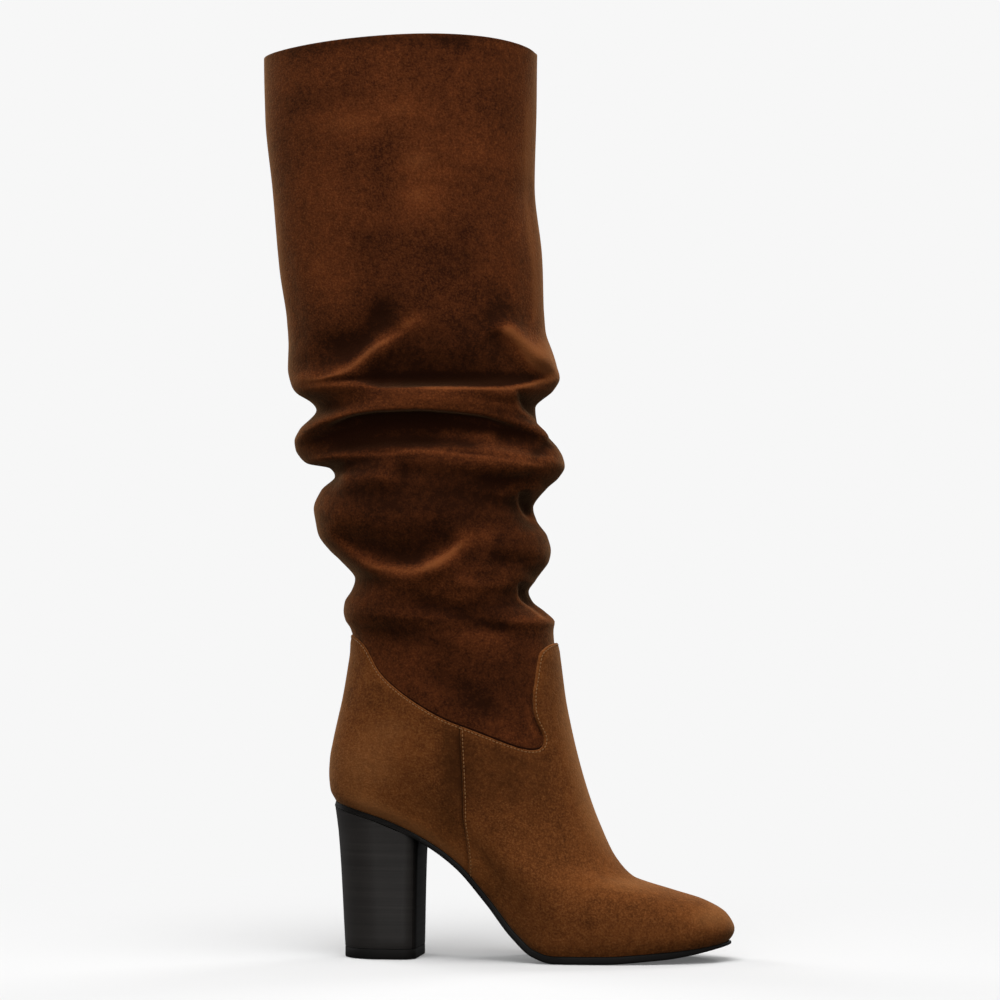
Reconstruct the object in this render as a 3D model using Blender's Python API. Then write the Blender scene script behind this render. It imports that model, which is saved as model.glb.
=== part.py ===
"""Slouch-shaft suede boot with a block heel, right foot.

Sizes are millimetres and the meshes are written in metres. +X runs to the toe,
+Z is up, -Y is the outer side of the foot and the floor is z = 0.

The whole boot is one form: a stack of closed rings from the feather edge (where
upper and sole meet) up to the collar. A place on the form is (t, a): t counts the
rings from the sole up, and a runs once round a ring, 0 at the back of the leg,
0 to 1 along the outer side to the toe, 1 to 2 back along the inner side.
"""
import math
from collections import namedtuple

import bmesh
import bpy
import numpy as np

MM = 0.001

# Gap between pieces that touch, and the walls of the two leather pieces.
GAP = 0.3
UPPER_WALL = 1.6
SHAFT_WALL = 1.6
VAMP_LAP = 0.8

# Sole, insole and heel.
SOLE_EDGE = -0.2
SOLE_EDGE_ROUND = 0.6
SOLE_EDGE_LOW = 0.6
INSOLE_THICK = 2.0
INSOLE_EASE = 1.5
HEEL_CORNER = 5.0
TOP_PIECE = 5.6

# Mesh fineness: columns behind the counter seam, the seam's place among the columns
# and the width of the lap there, and arc steps of the heel's back and breast corners.
BACK_COLUMNS = 6
SEAM_PLACE = 0.36
LAP_WIDTH = 0.005
HEEL_ARC_STEPS = 8
HEEL_CORNER_STEPS = 3

# Where the columns ahead of the counter seam meet the feather edge, close together
# where the sole bends.
FEATHER_STOPS = (-1.5, 6.5, 13.4, 19.0, 25.0, 35.5, 48.5, 61.5, 80.0, 98.0, 111.0, 120.5, 126.2, 128.2)
FEATHER_HOLD = 6.0

# Colours as linear red, green, blue, with roughness.
Finish = namedtuple("Finish", "name colour roughness")
FOOT_SUEDE = Finish("foot suede", (0.150, 0.052, 0.013), 0.90)
SHAFT_SUEDE = Finish("shaft suede", (0.082, 0.030, 0.009), 0.90)
SOLE_RUBBER = Finish("sole rubber", (0.012, 0.012, 0.013), 0.55)
HEEL_STACK = Finish("painted heel stack", (0.022, 0.019, 0.017), 0.40)
TOP_RUBBER = Finish("top piece rubber", (0.015, 0.014, 0.013), 0.60)
SOCK_LEATHER = Finish("sock leather", (0.330, 0.200, 0.100), 0.60)

# The feather edge seen from the side, with the sole's thickness square to it.
SolePoint = namedtuple("SolePoint", "name x z thick")
SOLE_LINE = [
    SolePoint("seat back", -96.0, 88.6, 2.6),
    SolePoint("seat", -61.0, 78.0, 2.6),
    SolePoint("breast", -36.0, 66.0, 2.8),
    SolePoint("arch top", -18.5, 53.4, 3.0),
    SolePoint("arch", -1.5, 34.2, 3.2),
    SolePoint("arch foot", 13.4, 16.2, 3.5),
    SolePoint("tread rear", 25.0, 7.0, 3.9),
    SolePoint("tread start", 35.0, 4.5, 4.2),
    SolePoint("tread end", 62.0, 4.5, 4.2),
    SolePoint("toe joint", 88.5, 6.0, 4.0),
    SolePoint("toe spring", 110.0, 7.8, 3.5),
    SolePoint("toe", 124.0, 9.9, 3.0),
    SolePoint("toe tip", 133.0, 12.0, 2.7),
]

# Level sections of the heel, as shares of its height, with their back, half width and
# breast.
HeelSection = namedtuple("HeelSection", "name level back_x half breast_x")
HEEL_SECTIONS = [
    HeelSection("tread", 0.00, -87.2, 23.2, -44.9),
    HeelSection("flare", 0.82, -90.5, 24.3, -43.9),
    HeelSection("seat", 1.00, -92.0, 25.1, -43.4),
]

# Rings of the foot. hug is the share of the sole's curve a ring follows. Half widths
# are outer (lat) and inner (med) at the heel, waist and ball; rear_round and
# fore_round are where the heel and toe roundings start, and seam is the counter seam,
# all as shares of the ring's length.
FootRing = namedtuple(
    "FootRing",
    "name back_x back_z front_x front_z hug lat_rear lat_mid lat_fore med_rear med_mid"
    " med_fore rear_round fore_round seam",
)
FOOT_RINGS = [
    FootRing("feather", -92.8, 87.6, 128.2, 10.9, 1.00, 25.5, 28.5, 41.0, 25.5, 22.5, 38.5, 0.12, 0.60, 0.360),
    FootRing("edge", -95.8, 94.0, 131.0, 17.6, 0.91, 28.5, 31.0, 43.0, 28.5, 26.5, 41.0, 0.14, 0.59, 0.365),
    FootRing("toe top", -96.6, 103.0, 127.0, 25.4, 0.80, 30.0, 33.0, 43.2, 30.0, 29.5, 41.5, 0.16, 0.58, 0.372),
    FootRing("vamp low", -96.2, 111.5, 115.5, 32.3, 0.68, 31.0, 34.5, 42.5, 31.0, 32.0, 41.5, 0.18, 0.56, 0.388),
    FootRing("vamp", -94.5, 121.0, 97.0, 37.8, 0.53, 31.8, 35.6, 41.0, 31.8, 34.0, 40.5, 0.21, 0.54, 0.418),
    FootRing("vamp break", -92.0, 132.0, 76.8, 43.9, 0.37, 32.4, 36.3, 39.5, 32.4, 35.2, 39.2, 0.25, 0.52, 0.455),
    FootRing("instep low", -89.6, 142.4, 64.4, 56.2, 0.24, 33.0, 36.8, 38.2, 33.0, 36.0, 38.0, 0.29, 0.52, 0.482),
    FootRing("instep", -87.6, 152.4, 56.0, 73.6, 0.14, 33.6, 37.2, 37.6, 33.6, 36.6, 37.6, 0.33, 0.50, 0.498),
    FootRing("instep high", -86.0, 162.0, 48.8, 93.0, 0.07, 34.3, 37.5, 37.5, 34.3, 37.2, 37.5, 0.38, 0.50, 0.512),
    FootRing("ankle low", -84.8, 171.0, 42.2, 116.3, 0.02, 35.2, 37.8, 37.8, 35.2, 37.8, 37.8, 0.42, 0.50, 0.530),
    FootRing("ankle", -84.6, 177.5, 36.2, 144.2, 0.00, 36.2, 38.2, 38.2, 36.2, 38.2, 38.2, 0.46, 0.50, 0.530),
    FootRing("ankle top", -86.0, 183.0, 32.0, 181.0, 0.00, 37.6, 38.8, 38.8, 37.6, 38.8, 38.8, 0.50, 0.50, 0.520),
]

# Rings of the leg, a row for each crest and hollow of the slouch. lat and med give
# the height and half width at the middle of the outer and inner sides.
LegRing = namedtuple("LegRing", "name back_x back_z front_x front_z lat_z lat_w med_z med_w")
LEG_RINGS = [
    LegRing("ankle roll", -88.2, 188.5, 31.8, 187.6, 187.5, 39.6, 188.0, 39.6),
    LegRing("low crest", -88.2, 193.6, 25.0, 193.6, 192.0, 40.2, 193.5, 40.8),
    LegRing("low hollow", -87.4, 198.8, 18.1, 199.0, 197.5, 40.0, 199.0, 39.0),
    LegRing("low band", -83.6, 205.4, 15.8, 204.7, 204.0, 40.8, 205.0, 40.6),
    LegRing("back notch", -81.9, 212.0, 19.8, 211.2, 210.6, 41.6, 212.0, 41.4),
    LegRing("smile crest", -89.7, 221.6, 27.1, 221.8, 219.0, 41.8, 220.5, 42.4),
    LegRing("smile hollow", -96.6, 228.0, 28.2, 228.0, 226.0, 41.6, 227.5, 39.6),
    LegRing("pillow low", -102.9, 237.4, 26.5, 235.3, 235.0, 42.8, 236.5, 42.4),
    LegRing("pillow", -105.2, 250.4, 20.3, 244.3, 248.0, 44.2, 247.5, 44.0),
    LegRing("front notch", -101.2, 261.0, 18.4, 251.6, 260.0, 43.0, 256.5, 42.8),
    LegRing("mid band", -93.2, 269.0, 26.0, 261.6, 270.0, 42.6, 266.0, 41.6),
    LegRing("mid shelf", -96.0, 273.6, 33.0, 268.0, 278.0, 44.2, 273.0, 43.6),
    LegRing("mid crest", -109.0, 276.2, 36.2, 274.4, 284.6, 43.4, 279.5, 42.8),
    LegRing("arch floor", -113.6, 280.2, 35.2, 279.4, 289.6, 38.0, 285.0, 39.0),
    LegRing("arch hollow", -115.8, 284.4, 32.6, 284.2, 297.0, 35.0, 291.0, 36.6),
    LegRing("arch roof", -116.2, 289.0, 27.8, 289.8, 303.4, 40.0, 297.0, 39.8),
    LegRing("arch lip", -113.2, 295.6, 21.0, 298.4, 307.0, 46.0, 302.0, 45.0),
    LegRing("top notch", -103.5, 306.2, 19.8, 307.4, 312.2, 46.4, 309.0, 45.6),
    LegRing("top crest", -113.2, 316.2, 28.8, 317.0, 318.4, 45.2, 317.0, 44.6),
    LegRing("top hollow", -117.4, 321.6, 32.6, 322.8, 323.8, 38.8, 323.0, 40.0),
    LegRing("shoulder low", -119.8, 330.0, 31.6, 329.2, 336.5, 42.6, 335.0, 42.8),
    LegRing("shoulder", -119.8, 349.0, 25.4, 351.0, 356.0, 45.8, 354.0, 45.4),
    LegRing("leg low", -125.0, 386.0, 23.2, 394.0, 392.0, 46.2, 391.0, 46.2),
    LegRing("leg", -128.8, 430.0, 19.4, 432.0, 432.0, 46.6, 431.5, 46.6),
    LegRing("leg high", -133.0, 470.0, 20.2, 469.0, 472.0, 46.9, 471.0, 46.9),
    LegRing("collar", -133.8, 504.6, 20.9, 505.2, 513.6, 47.0, 512.6, 47.0),
]

# Soft ridges (rise above 0) and hollows (below 0) that run across one side of the leg.
# Each passes through three places seen from the side; width is half across.
Fold = namedtuple("Fold", "name side start_x start_z mid_x mid_z end_x end_z rise width")
OUTER, INNER = 0, 1
FOLDS = [
    Fold("shoulder back ridge", OUTER, -110, 322, -78, 333, -46, 355, 3.2, 7.0),
    Fold("shoulder back hollow", OUTER, -104, 338, -72, 347, -50, 372, -3.6, 9.0),
    Fold("shoulder front ridge", OUTER, 31, 326, 16, 338, -2, 354, 3.0, 7.0),
    Fold("front gusset", OUTER, 6, 316, 14, 304, 31, 286, -3.0, 5.5),
    Fold("crest dip front", OUTER, 32, 271, 11, 268, -10, 266, -3.2, 5.5),
    Fold("crest dip back", OUTER, -92, 265, -74, 270, -52, 272, -2.6, 5.0),
    Fold("smile hollow", OUTER, -90, 239, -48, 223, -17, 241, -5.0, 6.5),
    Fold("smile crest", OUTER, -94, 231, -47, 215, -8, 234, 3.2, 5.5),
    Fold("front nick", OUTER, 11, 260, 17, 249, 25, 239, -3.0, 5.5),
    Fold("front low hollow", OUTER, 0, 226, 13, 222, 26, 224, -3.0, 5.5),
    Fold("low hollow", OUTER, -48, 202, -16, 190, 20, 183, -3.6, 6.5),
    Fold("low ridge", OUTER, -66, 196, -28, 183, 8, 172, 2.6, 6.5),
    Fold("low back hollow", OUTER, -84, 187, -64, 185, -46, 180, -2.6, 5.5),
    Fold("ankle hollow", OUTER, -48, 170, -16, 150, 12, 130, -1.8, 9.0),
    Fold("shoulder back ridge", INNER, -110, 322, -74, 329, -38, 347, 3.0, 8.0),
    Fold("shoulder front ridge", INNER, 31, 326, 10, 340, -16, 366, 3.0, 8.0),
    Fold("smile hollow", INNER, -62, 240, -22, 226, 14, 238, -4.0, 7.0),
    Fold("low hollow", INNER, -58, 198, -22, 192, 14, 178, -3.2, 7.0),
    Fold("ankle hollow", INNER, -44, 168, -12, 150, 14, 134, -1.6, 9.0),
]
FOLD_SAMPLES = 40
FOLD_FADE = 0.3

# The seam where the foot laps over the leg, seen from the side, back to front.
SEAM_LINE = [
    (-110.0, 178.6), (-84.6, 178.4), (-72.7, 169.6), (-60.9, 158.8), (-46.7, 146.8),
    (-31.3, 137.5), (-16.0, 129.9), (-0.4, 122.8), (11.8, 119.0), (21.4, 118.3),
    (26.9, 120.3), (29.0, 125.4), (27.5, 132.9), (24.6, 141.8), (23.2, 150.6),
    (23.2, 161.0), (24.8, 169.4), (28.6, 174.2), (34.0, 176.6), (60.0, 177.0),
]
SEAM_SAMPLES = 4
SEAM_CUT_TOP = 230.0
SEAM_CUT_HALF = 70.0

# The leg starts inside the foot at this ring and leaves it between the next two.
LAP_RING = 7.0
LAP_LEAVES = 11.0
LAP_GONE = 13.0

# Width stations along a ring, and the fullness of its rounded ends.
STATIONS = (0.15, 0.40, 0.62)
FULLNESS = 2.1

# How roundly the sides of a leg ring rise from its back and its front.
BOW_BACK = 1.3
BOW_FRONT = 0.55

# The collar's rim rises to a peak ahead of the middle.
RIM_RINGS = 2.0
RIM_BOW = 0.55
RIM_SKEW = 1.6

# How far a ring is stepped to measure its slopes.
NUDGE = 0.002


def slopes(xs, ys):
    """Tangents of a curve through points that never overshoots a crest or hollow."""
    steps = np.diff(xs)
    grades = np.diff(ys) / steps
    tangents = np.empty(len(xs))
    tangents[0] = grades[0]
    tangents[-1] = grades[-1]
    for i in range(1, len(xs) - 1):
        before, after = grades[i - 1], grades[i]
        if before * after <= 0.0:
            tangents[i] = 0.0
        else:
            near = 2.0 * steps[i] + steps[i - 1]
            far = steps[i] + 2.0 * steps[i - 1]
            tangents[i] = (near + far) / (near / before + far / after)
    return tangents


def curve(xs, ys, x):
    """Heights at x of the smooth curve through (xs, ys)."""
    xs = np.asarray(xs, dtype=float)
    ys = np.asarray(ys, dtype=float)
    tangents = slopes(xs, ys)
    x = np.clip(x, xs[0], xs[-1])
    i = np.clip(np.searchsorted(xs, x, side="right") - 1, 0, len(xs) - 2)
    width = xs[i + 1] - xs[i]
    q = (x - xs[i]) / width
    start = (1.0 + 2.0 * q) * (1.0 - q) ** 2 * ys[i] + q * (1.0 - q) ** 2 * width * tangents[i]
    end = q * q * (3.0 - 2.0 * q) * ys[i + 1] + q * q * (q - 1.0) * width * tangents[i + 1]
    return start + end


def smoothstep(low, high, x):
    q = np.clip((x - low) / (high - low), 0.0, 1.0)
    return q * q * (3.0 - 2.0 * q)


def sole_z(x):
    """Height of the feather edge at x."""
    return curve([p.x for p in SOLE_LINE], [p.z for p in SOLE_LINE], x)


def sole_thick(x):
    return curve([p.x for p in SOLE_LINE], [p.thick for p in SOLE_LINE], x)


def ring_columns():
    """The ring tables of foot and leg as one set of named columns, sole to collar."""
    names = FootRing._fields[1:] + ("lat_lift", "med_lift")
    columns = {name: [] for name in names}
    for row in FOOT_RINGS:
        for name in FootRing._fields[1:]:
            columns[name].append(getattr(row, name))
        columns["lat_lift"].append(0.0)
        columns["med_lift"].append(0.0)
    for row in LEG_RINGS:
        middle = 0.5 * (row.back_z + row.front_z)
        for name in ("back_x", "back_z", "front_x", "front_z"):
            columns[name].append(getattr(row, name))
        for place in ("rear", "mid", "fore"):
            columns["lat_" + place].append(row.lat_w)
            columns["med_" + place].append(row.med_w)
        columns["hug"].append(0.0)
        columns["rear_round"].append(0.5)
        columns["fore_round"].append(0.5)
        columns["seam"].append(0.5)
        columns["lat_lift"].append(row.lat_z - middle)
        columns["med_lift"].append(row.med_z - middle)
    return columns


RING_COLUMNS = ring_columns()
ANKLE_T = len(FOOT_RINGS) - 1.0
COLLAR_T = ANKLE_T + len(LEG_RINGS)

# Ring steps of the two shells: half steps at the toe and through the slouch.
UPPER_STEPS = [0.0, 1.0, 1.5, 2.0, 2.5, 3.0, 4.0, 5.0, 5.5, 6.0, 7.0, 8.0, 9.0, 10.0, 11.0]
SHAFT_STEPS = [LAP_RING + i for i in range(6)]
SHAFT_STEPS += [ANKLE_T + 2.0 + 0.5 * i for i in range(37)]
SHAFT_STEPS += [COLLAR_T - 5.0 + i for i in range(6)]


def ring_value(name, t):
    values = RING_COLUMNS[name]
    return curve(np.arange(len(values)), values, t)


def ring_share(t, u):
    """Share of a ring's length at column u, 0 at the back and 1 at the front."""
    seam = ring_value("seam", t)
    back = seam * (1.0 - np.cos(0.5 * math.pi * np.clip(u / SEAM_PLACE, 0.0, 1.0)))
    ahead = np.clip((u - SEAM_PLACE) / (1.0 - SEAM_PLACE), 0.0, 1.0)
    even = np.sin(0.5 * math.pi * ahead)
    feather = FOOT_RINGS[0]
    start = feather.back_x + feather.seam * (feather.front_x - feather.back_x)
    stops = [(x - start) / (feather.front_x - start) for x in (start,) + FEATHER_STOPS]
    close = curve(np.linspace(0.0, 1.0, len(stops)), stops, ahead)
    hold = 1.0 - smoothstep(0.0, FEATHER_HOLD, t)
    return back + (1.0 - seam) * (even + hold * (close - even))


def ring_half_width(t, s, side):
    """Half width at share s of a ring on one side, lat or med."""
    rear, mid, fore = (ring_value(side + place, t) for place in ("_rear", "_mid", "_fore"))
    to_mid = smoothstep(STATIONS[0], STATIONS[1], s)
    to_fore = smoothstep(STATIONS[1], STATIONS[2], s)
    width = rear + (mid - rear) * to_mid + (fore - mid) * to_fore
    rear_round = ring_value("rear_round", t)
    fore_round = ring_value("fore_round", t)
    into_heel = np.clip((rear_round - s) / rear_round, 0.0, 1.0)
    into_toe = np.clip((s - fore_round) / (1.0 - fore_round), 0.0, 1.0)
    end = np.maximum(into_heel, into_toe)
    return width * (1.0 - end ** FULLNESS) ** (1.0 / FULLNESS)


def form(t, a):
    """Points of the boot's outer form at ring places t and round places a."""
    t, a = np.broadcast_arrays(np.clip(t, 0.0, COLLAR_T), np.mod(a, 2.0))
    outer = a <= 1.0
    u = np.where(outer, a, 2.0 - a)
    s = ring_share(t, u)
    back_x, front_x = ring_value("back_x", t), ring_value("front_x", t)
    back_z, front_z = ring_value("back_z", t), ring_value("front_z", t)
    x = back_x + (front_x - back_x) * s
    half = np.where(outer, -ring_half_width(t, s, "lat"), ring_half_width(t, s, "med"))
    feather = FOOT_RINGS[0]
    feather_x = feather.back_x + (feather.front_x - feather.back_x) * s
    feather_chord = feather.back_z + (feather.front_z - feather.back_z) * s
    lift = np.where(outer, ring_value("lat_lift", t), ring_value("med_lift", t))
    rim = smoothstep(COLLAR_T - RIM_RINGS, COLLAR_T, t)
    leg_bow = BOW_BACK + (BOW_FRONT - BOW_BACK) * s
    skewed = s ** (1.0 + (RIM_SKEW - 1.0) * rim)
    bow = (1.0 - (2.0 * skewed - 1.0) ** 2) ** (leg_bow + (RIM_BOW - leg_bow) * rim)
    z = back_z + (front_z - back_z) * s + lift * bow
    z = z + ring_value("hug", t) * (sole_z(feather_x) - feather_chord)
    return np.stack([x, half, z], axis=-1)


def normals_of(surface, t, a):
    """Unit normals of a surface given as a function of (t, a), pointing out."""
    t = np.clip(t, NUDGE, COLLAR_T - NUDGE)
    along = surface(t, a + NUDGE) - surface(t, a - NUDGE)
    up = surface(t + NUDGE, a) - surface(t - NUDGE, a)
    normals = np.cross(along, up)
    return normals / np.linalg.norm(normals, axis=-1, keepdims=True)


def fold_line(fold):
    """Places along a fold seen from the side, with how strong it is at each."""
    q = np.linspace(0.0, 1.0, FOLD_SAMPLES)
    weights = (2.0 * (q - 0.5) * (q - 1.0), 4.0 * q * (1.0 - q), 2.0 * q * (q - 0.5))
    x = weights[0] * fold.start_x + weights[1] * fold.mid_x + weights[2] * fold.end_x
    z = weights[0] * fold.start_z + weights[1] * fold.mid_z + weights[2] * fold.end_z
    strength = smoothstep(0.0, FOLD_FADE, q) * smoothstep(0.0, FOLD_FADE, 1.0 - q)
    return x, z, strength


def folded_form(t, a):
    """The form with the folds of the leg raised and sunk square to its surface."""
    points = form(t, a)
    side = np.broadcast_to(np.where(np.mod(a, 2.0) <= 1.0, OUTER, INNER), points.shape[:-1])
    rise = np.zeros(points.shape[:-1])
    for fold in FOLDS:
        x, z, strength = fold_line(fold)
        away = np.hypot(points[..., 0, None] - x, points[..., 2, None] - z)
        here = (strength * np.exp(-((away / fold.width) ** 2))).max(axis=-1)
        rise += np.where(side == fold.side, fold.rise * here, 0.0)
    return points + rise[..., None] * normals_of(form, t, a)


def side_columns():
    """Places along one side of a ring, with a narrow step at the counter seam."""
    back = np.linspace(0.0, SEAM_PLACE, BACK_COLUMNS + 1)
    front = np.linspace(SEAM_PLACE, 1.0, len(FEATHER_STOPS) + 1)
    front[0] += LAP_WIDTH
    return np.concatenate([back, front])


def round_columns():
    """Places once round a ring, both sides alike."""
    outer = side_columns()
    return np.concatenate([outer, 2.0 - outer[-2:0:-1]])


def new_object(name, vertices, faces, finish, smooth):
    """A mesh object from millimetre points, with its own material."""
    mesh = bpy.data.meshes.new(name)
    mesh.from_pydata([tuple(float(c) * MM for c in v) for v in vertices], [], faces)
    work = bmesh.new()
    work.from_mesh(mesh)
    bmesh.ops.remove_doubles(work, verts=work.verts, dist=1e-6)
    bmesh.ops.triangulate(work, faces=work.faces, quad_method="FIXED")
    bmesh.ops.recalc_face_normals(work, faces=work.faces)
    work.to_mesh(mesh)
    work.free()
    for face in mesh.polygons:
        face.use_smooth = smooth
    material = bpy.data.materials.new(finish.name)
    material.use_nodes = True
    shader = material.node_tree.nodes["Principled BSDF"]
    shader.inputs["Base Color"].default_value = (*finish.colour, 1.0)
    shader.inputs["Roughness"].default_value = finish.roughness
    shader.inputs["Metallic"].default_value = 0.0
    mesh.materials.append(material)
    made = bpy.data.objects.new(name, mesh)
    bpy.context.scene.collection.objects.link(made)
    return made


def wall_solid(name, outer, inner, finish):
    """A tube with a wall: rings of outer and inner points, closed at both rims."""
    rings, columns = outer.shape[:2]
    count = rings * columns
    vertices = np.concatenate([outer.reshape(-1, 3), inner.reshape(-1, 3)])
    faces = []
    for j in range(columns):
        k = (j + 1) % columns
        for i in range(rings - 1):
            low, high = i * columns, (i + 1) * columns
            faces.append((low + j, low + k, high + k, high + j))
            faces.append((count + low + j, count + high + j, count + high + k, count + low + k))
        top = (rings - 1) * columns
        faces.append((j, count + j, count + k, k))
        faces.append((top + j, top + k, count + top + k, count + top + j))
    return new_object(name, vertices, faces, finish, True)


def ladder_solid(name, loops, finish):
    """A solid from a stack of loops, bottom first.

    A loop is a list of rungs (left point, right point); the first and last loops are
    filled between left and right.
    """
    rungs = len(loops[0])
    vertices = [point for loop in loops for rung in loop for point in rung]

    def at(level, rung, side):
        return (level * rungs + rung) * 2 + side

    faces = []
    top = len(loops) - 1
    for r in range(rungs - 1):
        faces.append((at(0, r, 0), at(0, r, 1), at(0, r + 1, 1), at(0, r + 1, 0)))
        faces.append((at(top, r, 0), at(top, r + 1, 0), at(top, r + 1, 1), at(top, r, 1)))
    for level in range(top):
        for r in range(rungs - 1):
            for side in (0, 1):
                faces.append((
                    at(level, r, side), at(level, r + 1, side),
                    at(level + 1, r + 1, side), at(level + 1, r, side),
                ))
        for r in (0, rungs - 1):
            faces.append((at(level, r, 0), at(level, r, 1), at(level + 1, r, 1), at(level + 1, r, 0)))
    return new_object(name, vertices, faces, finish, False)


def sole_outline(margin):
    """Rungs of the sole's outline, margin outside the feather edge, as x and y."""
    columns = side_columns()
    rungs = []
    for places in (columns, 2.0 - columns):
        points = form(0.0, places)
        run = form(0.0, places + NUDGE) - form(0.0, places - NUDGE)
        away = np.stack([run[:, 1], -run[:, 0]], axis=-1)
        away = away / np.linalg.norm(away, axis=-1, keepdims=True)
        flat = points[:, :2] + margin * away
        flat[[0, -1], 1] = 0.0
        rungs.append(flat)
    return list(zip(rungs[0], rungs[1]))


def sole_loop(margin, drop):
    """A loop of the sole at drop, as a share of its thickness, below the feather edge."""
    loop = []
    for rung in sole_outline(margin):
        points = []
        for x, y in rung:
            grade = float(sole_z(x + NUDGE) - sole_z(x - NUDGE)) / (2.0 * NUDGE)
            square = math.hypot(1.0, grade)
            deep = GAP + drop * float(sole_thick(x))
            points.append((x + deep * grade / square, y, float(sole_z(x)) - deep / square))
        loop.append(tuple(points))
    return loop


def build_outsole():
    loops = [
        sole_loop(SOLE_EDGE - SOLE_EDGE_ROUND, 1.0),
        sole_loop(SOLE_EDGE, SOLE_EDGE_LOW),
        sole_loop(SOLE_EDGE, 0.0),
    ]
    return ladder_solid("outsole", loops, SOLE_RUBBER)


def build_insole():
    margin = -(UPPER_WALL + INSOLE_EASE)
    loops = []
    for height in (0.5 * GAP, INSOLE_THICK):
        loops.append([
            tuple((x, y, float(sole_z(x)) + height) for x, y in rung)
            for rung in sole_outline(margin)
        ])
    return ladder_solid("insole", loops, SOCK_LEATHER)


def heel_outline(section):
    """Rungs of the heel's plan: a half round back, straight sides, round breast corners."""
    rungs = []
    for i in range(HEEL_ARC_STEPS + 1):
        angle = 0.5 * math.pi * i / HEEL_ARC_STEPS
        x = section.back_x + section.half * (1.0 - math.cos(angle))
        y = section.half * math.sin(angle)
        rungs.append(((x, -y), (x, y)))
    for i in range(HEEL_CORNER_STEPS + 1):
        angle = 0.5 * math.pi * i / HEEL_CORNER_STEPS
        x = section.breast_x - HEEL_CORNER * (1.0 - math.sin(angle))
        y = section.half - HEEL_CORNER * (1.0 - math.cos(angle))
        rungs.append(((x, -y), (x, y)))
    return rungs


def sole_underside(x):
    """Height of the sole's underside at x, along its own rungs."""
    edge = [rung[0] for rung in sole_loop(SOLE_EDGE - SOLE_EDGE_ROUND, 1.0)]
    return float(np.interp(x, [point[0] for point in edge], [point[2] for point in edge]))


def build_heel():
    low = TOP_PIECE + GAP
    loops = []
    for section in HEEL_SECTIONS:
        loops.append([
            tuple((x, y, low + section.level * (sole_underside(x) - GAP - low)) for x, y in rung)
            for rung in heel_outline(section)
        ])
    return ladder_solid("heel", loops, HEEL_STACK)


def build_top_piece():
    loops = []
    for z in (0.0, TOP_PIECE):
        loops.append([tuple((x, y, z) for x, y in rung) for rung in heel_outline(HEEL_SECTIONS[0])])
    return ladder_solid("heel_top_piece", loops, TOP_RUBBER)


def seam_curve():
    """The foot's top edge from the side, as a smooth run through the seam points."""
    points = np.array(SEAM_LINE)
    travel = np.concatenate([[0.0], np.cumsum(np.linalg.norm(np.diff(points, axis=0), axis=1))])
    fine = np.concatenate([
        np.linspace(travel[i], travel[i + 1], SEAM_SAMPLES, endpoint=False)
        for i in range(len(points) - 1)
    ] + [travel[-1:]])
    return list(zip(curve(travel, points[:, 0], fine), curve(travel, points[:, 1], fine)))


def build_seam_cutter():
    """A block over the seam line, as wide as the boot."""
    profile = seam_curve()
    profile += [(profile[-1][0], SEAM_CUT_TOP), (profile[0][0], SEAM_CUT_TOP)]
    count = len(profile)
    vertices = [(x, y, z) for y in (-SEAM_CUT_HALF, SEAM_CUT_HALF) for x, z in profile]
    faces = [tuple(range(count)), tuple(range(2 * count - 1, count - 1, -1))]
    for i in range(count):
        k = (i + 1) % count
        faces.append((i, count + i, count + k, k))
    cutter = new_object("seam_cutter", vertices, faces, SOCK_LEATHER, False)
    cutter.hide_render = True
    cutter.display_type = "WIRE"
    return cutter


def build_upper(cutter):
    """The foot: vamp and counter as one wall, the vamp standing proud at the side seam."""
    t = np.array(UPPER_STEPS)[:, None]
    a = round_columns()[None, :]
    points, normals = form(t, a), normals_of(form, t, a)
    u = np.where(a <= 1.0, a, 2.0 - a)
    proud = np.where(u > SEAM_PLACE + 0.5 * LAP_WIDTH, VAMP_LAP, 0.0)[..., None]
    inner = points - UPPER_WALL * normals
    inner[0, :, 2] = sole_z(inner[0, :, 0])
    outer = points + proud * normals
    outer[0, :, 2] = sole_z(outer[0, :, 0])
    upper = wall_solid("upper", outer, inner, FOOT_SUEDE)
    cut = upper.modifiers.new("top edge", "BOOLEAN")
    cut.operation = "DIFFERENCE"
    cut.solver = "EXACT"
    cut.object = cutter
    return upper


def build_shaft():
    """The leg, from inside the foot up to the collar."""
    t = np.array(SHAFT_STEPS)[:, None]
    a = round_columns()[None, :]
    points, normals = folded_form(t, a), normals_of(folded_form, t, a)
    tuck = (UPPER_WALL + GAP) * (1.0 - smoothstep(LAP_LEAVES, LAP_GONE, t))[..., None]
    outer = points - tuck * normals
    inner = outer - SHAFT_WALL * normals
    return wall_solid("shaft", outer, inner, SHAFT_SUEDE)


def main():
    for thing in list(bpy.data.objects):
        bpy.data.objects.remove(thing, do_unlink=True)
    build_outsole()
    build_insole()
    build_heel()
    build_top_piece()
    build_upper(build_seam_cutter())
    build_shaft()


main()
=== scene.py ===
"""Looks of a slouch-shaft suede boot, laid out as a Blender add-on and run as a script.

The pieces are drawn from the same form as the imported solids: a stack of closed rings
from the feather edge (where upper and sole meet) up to the collar. A place on the form
is (t, a): t counts the rings from the sole up, and a runs once round a ring, 0 at the
back of the leg, 0 to 1 along the outer side to the toe, 1 to 2 back along the inner
side. Tables are in millimetres, with +X to the toe, +Z up and -Y the outer side; the
meshes and the properties are in metres.
"""
import math
from collections import namedtuple

import bmesh
import bpy
import numpy as np
from bpy.props import FloatProperty, FloatVectorProperty, PointerProperty
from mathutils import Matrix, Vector, noise


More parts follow.
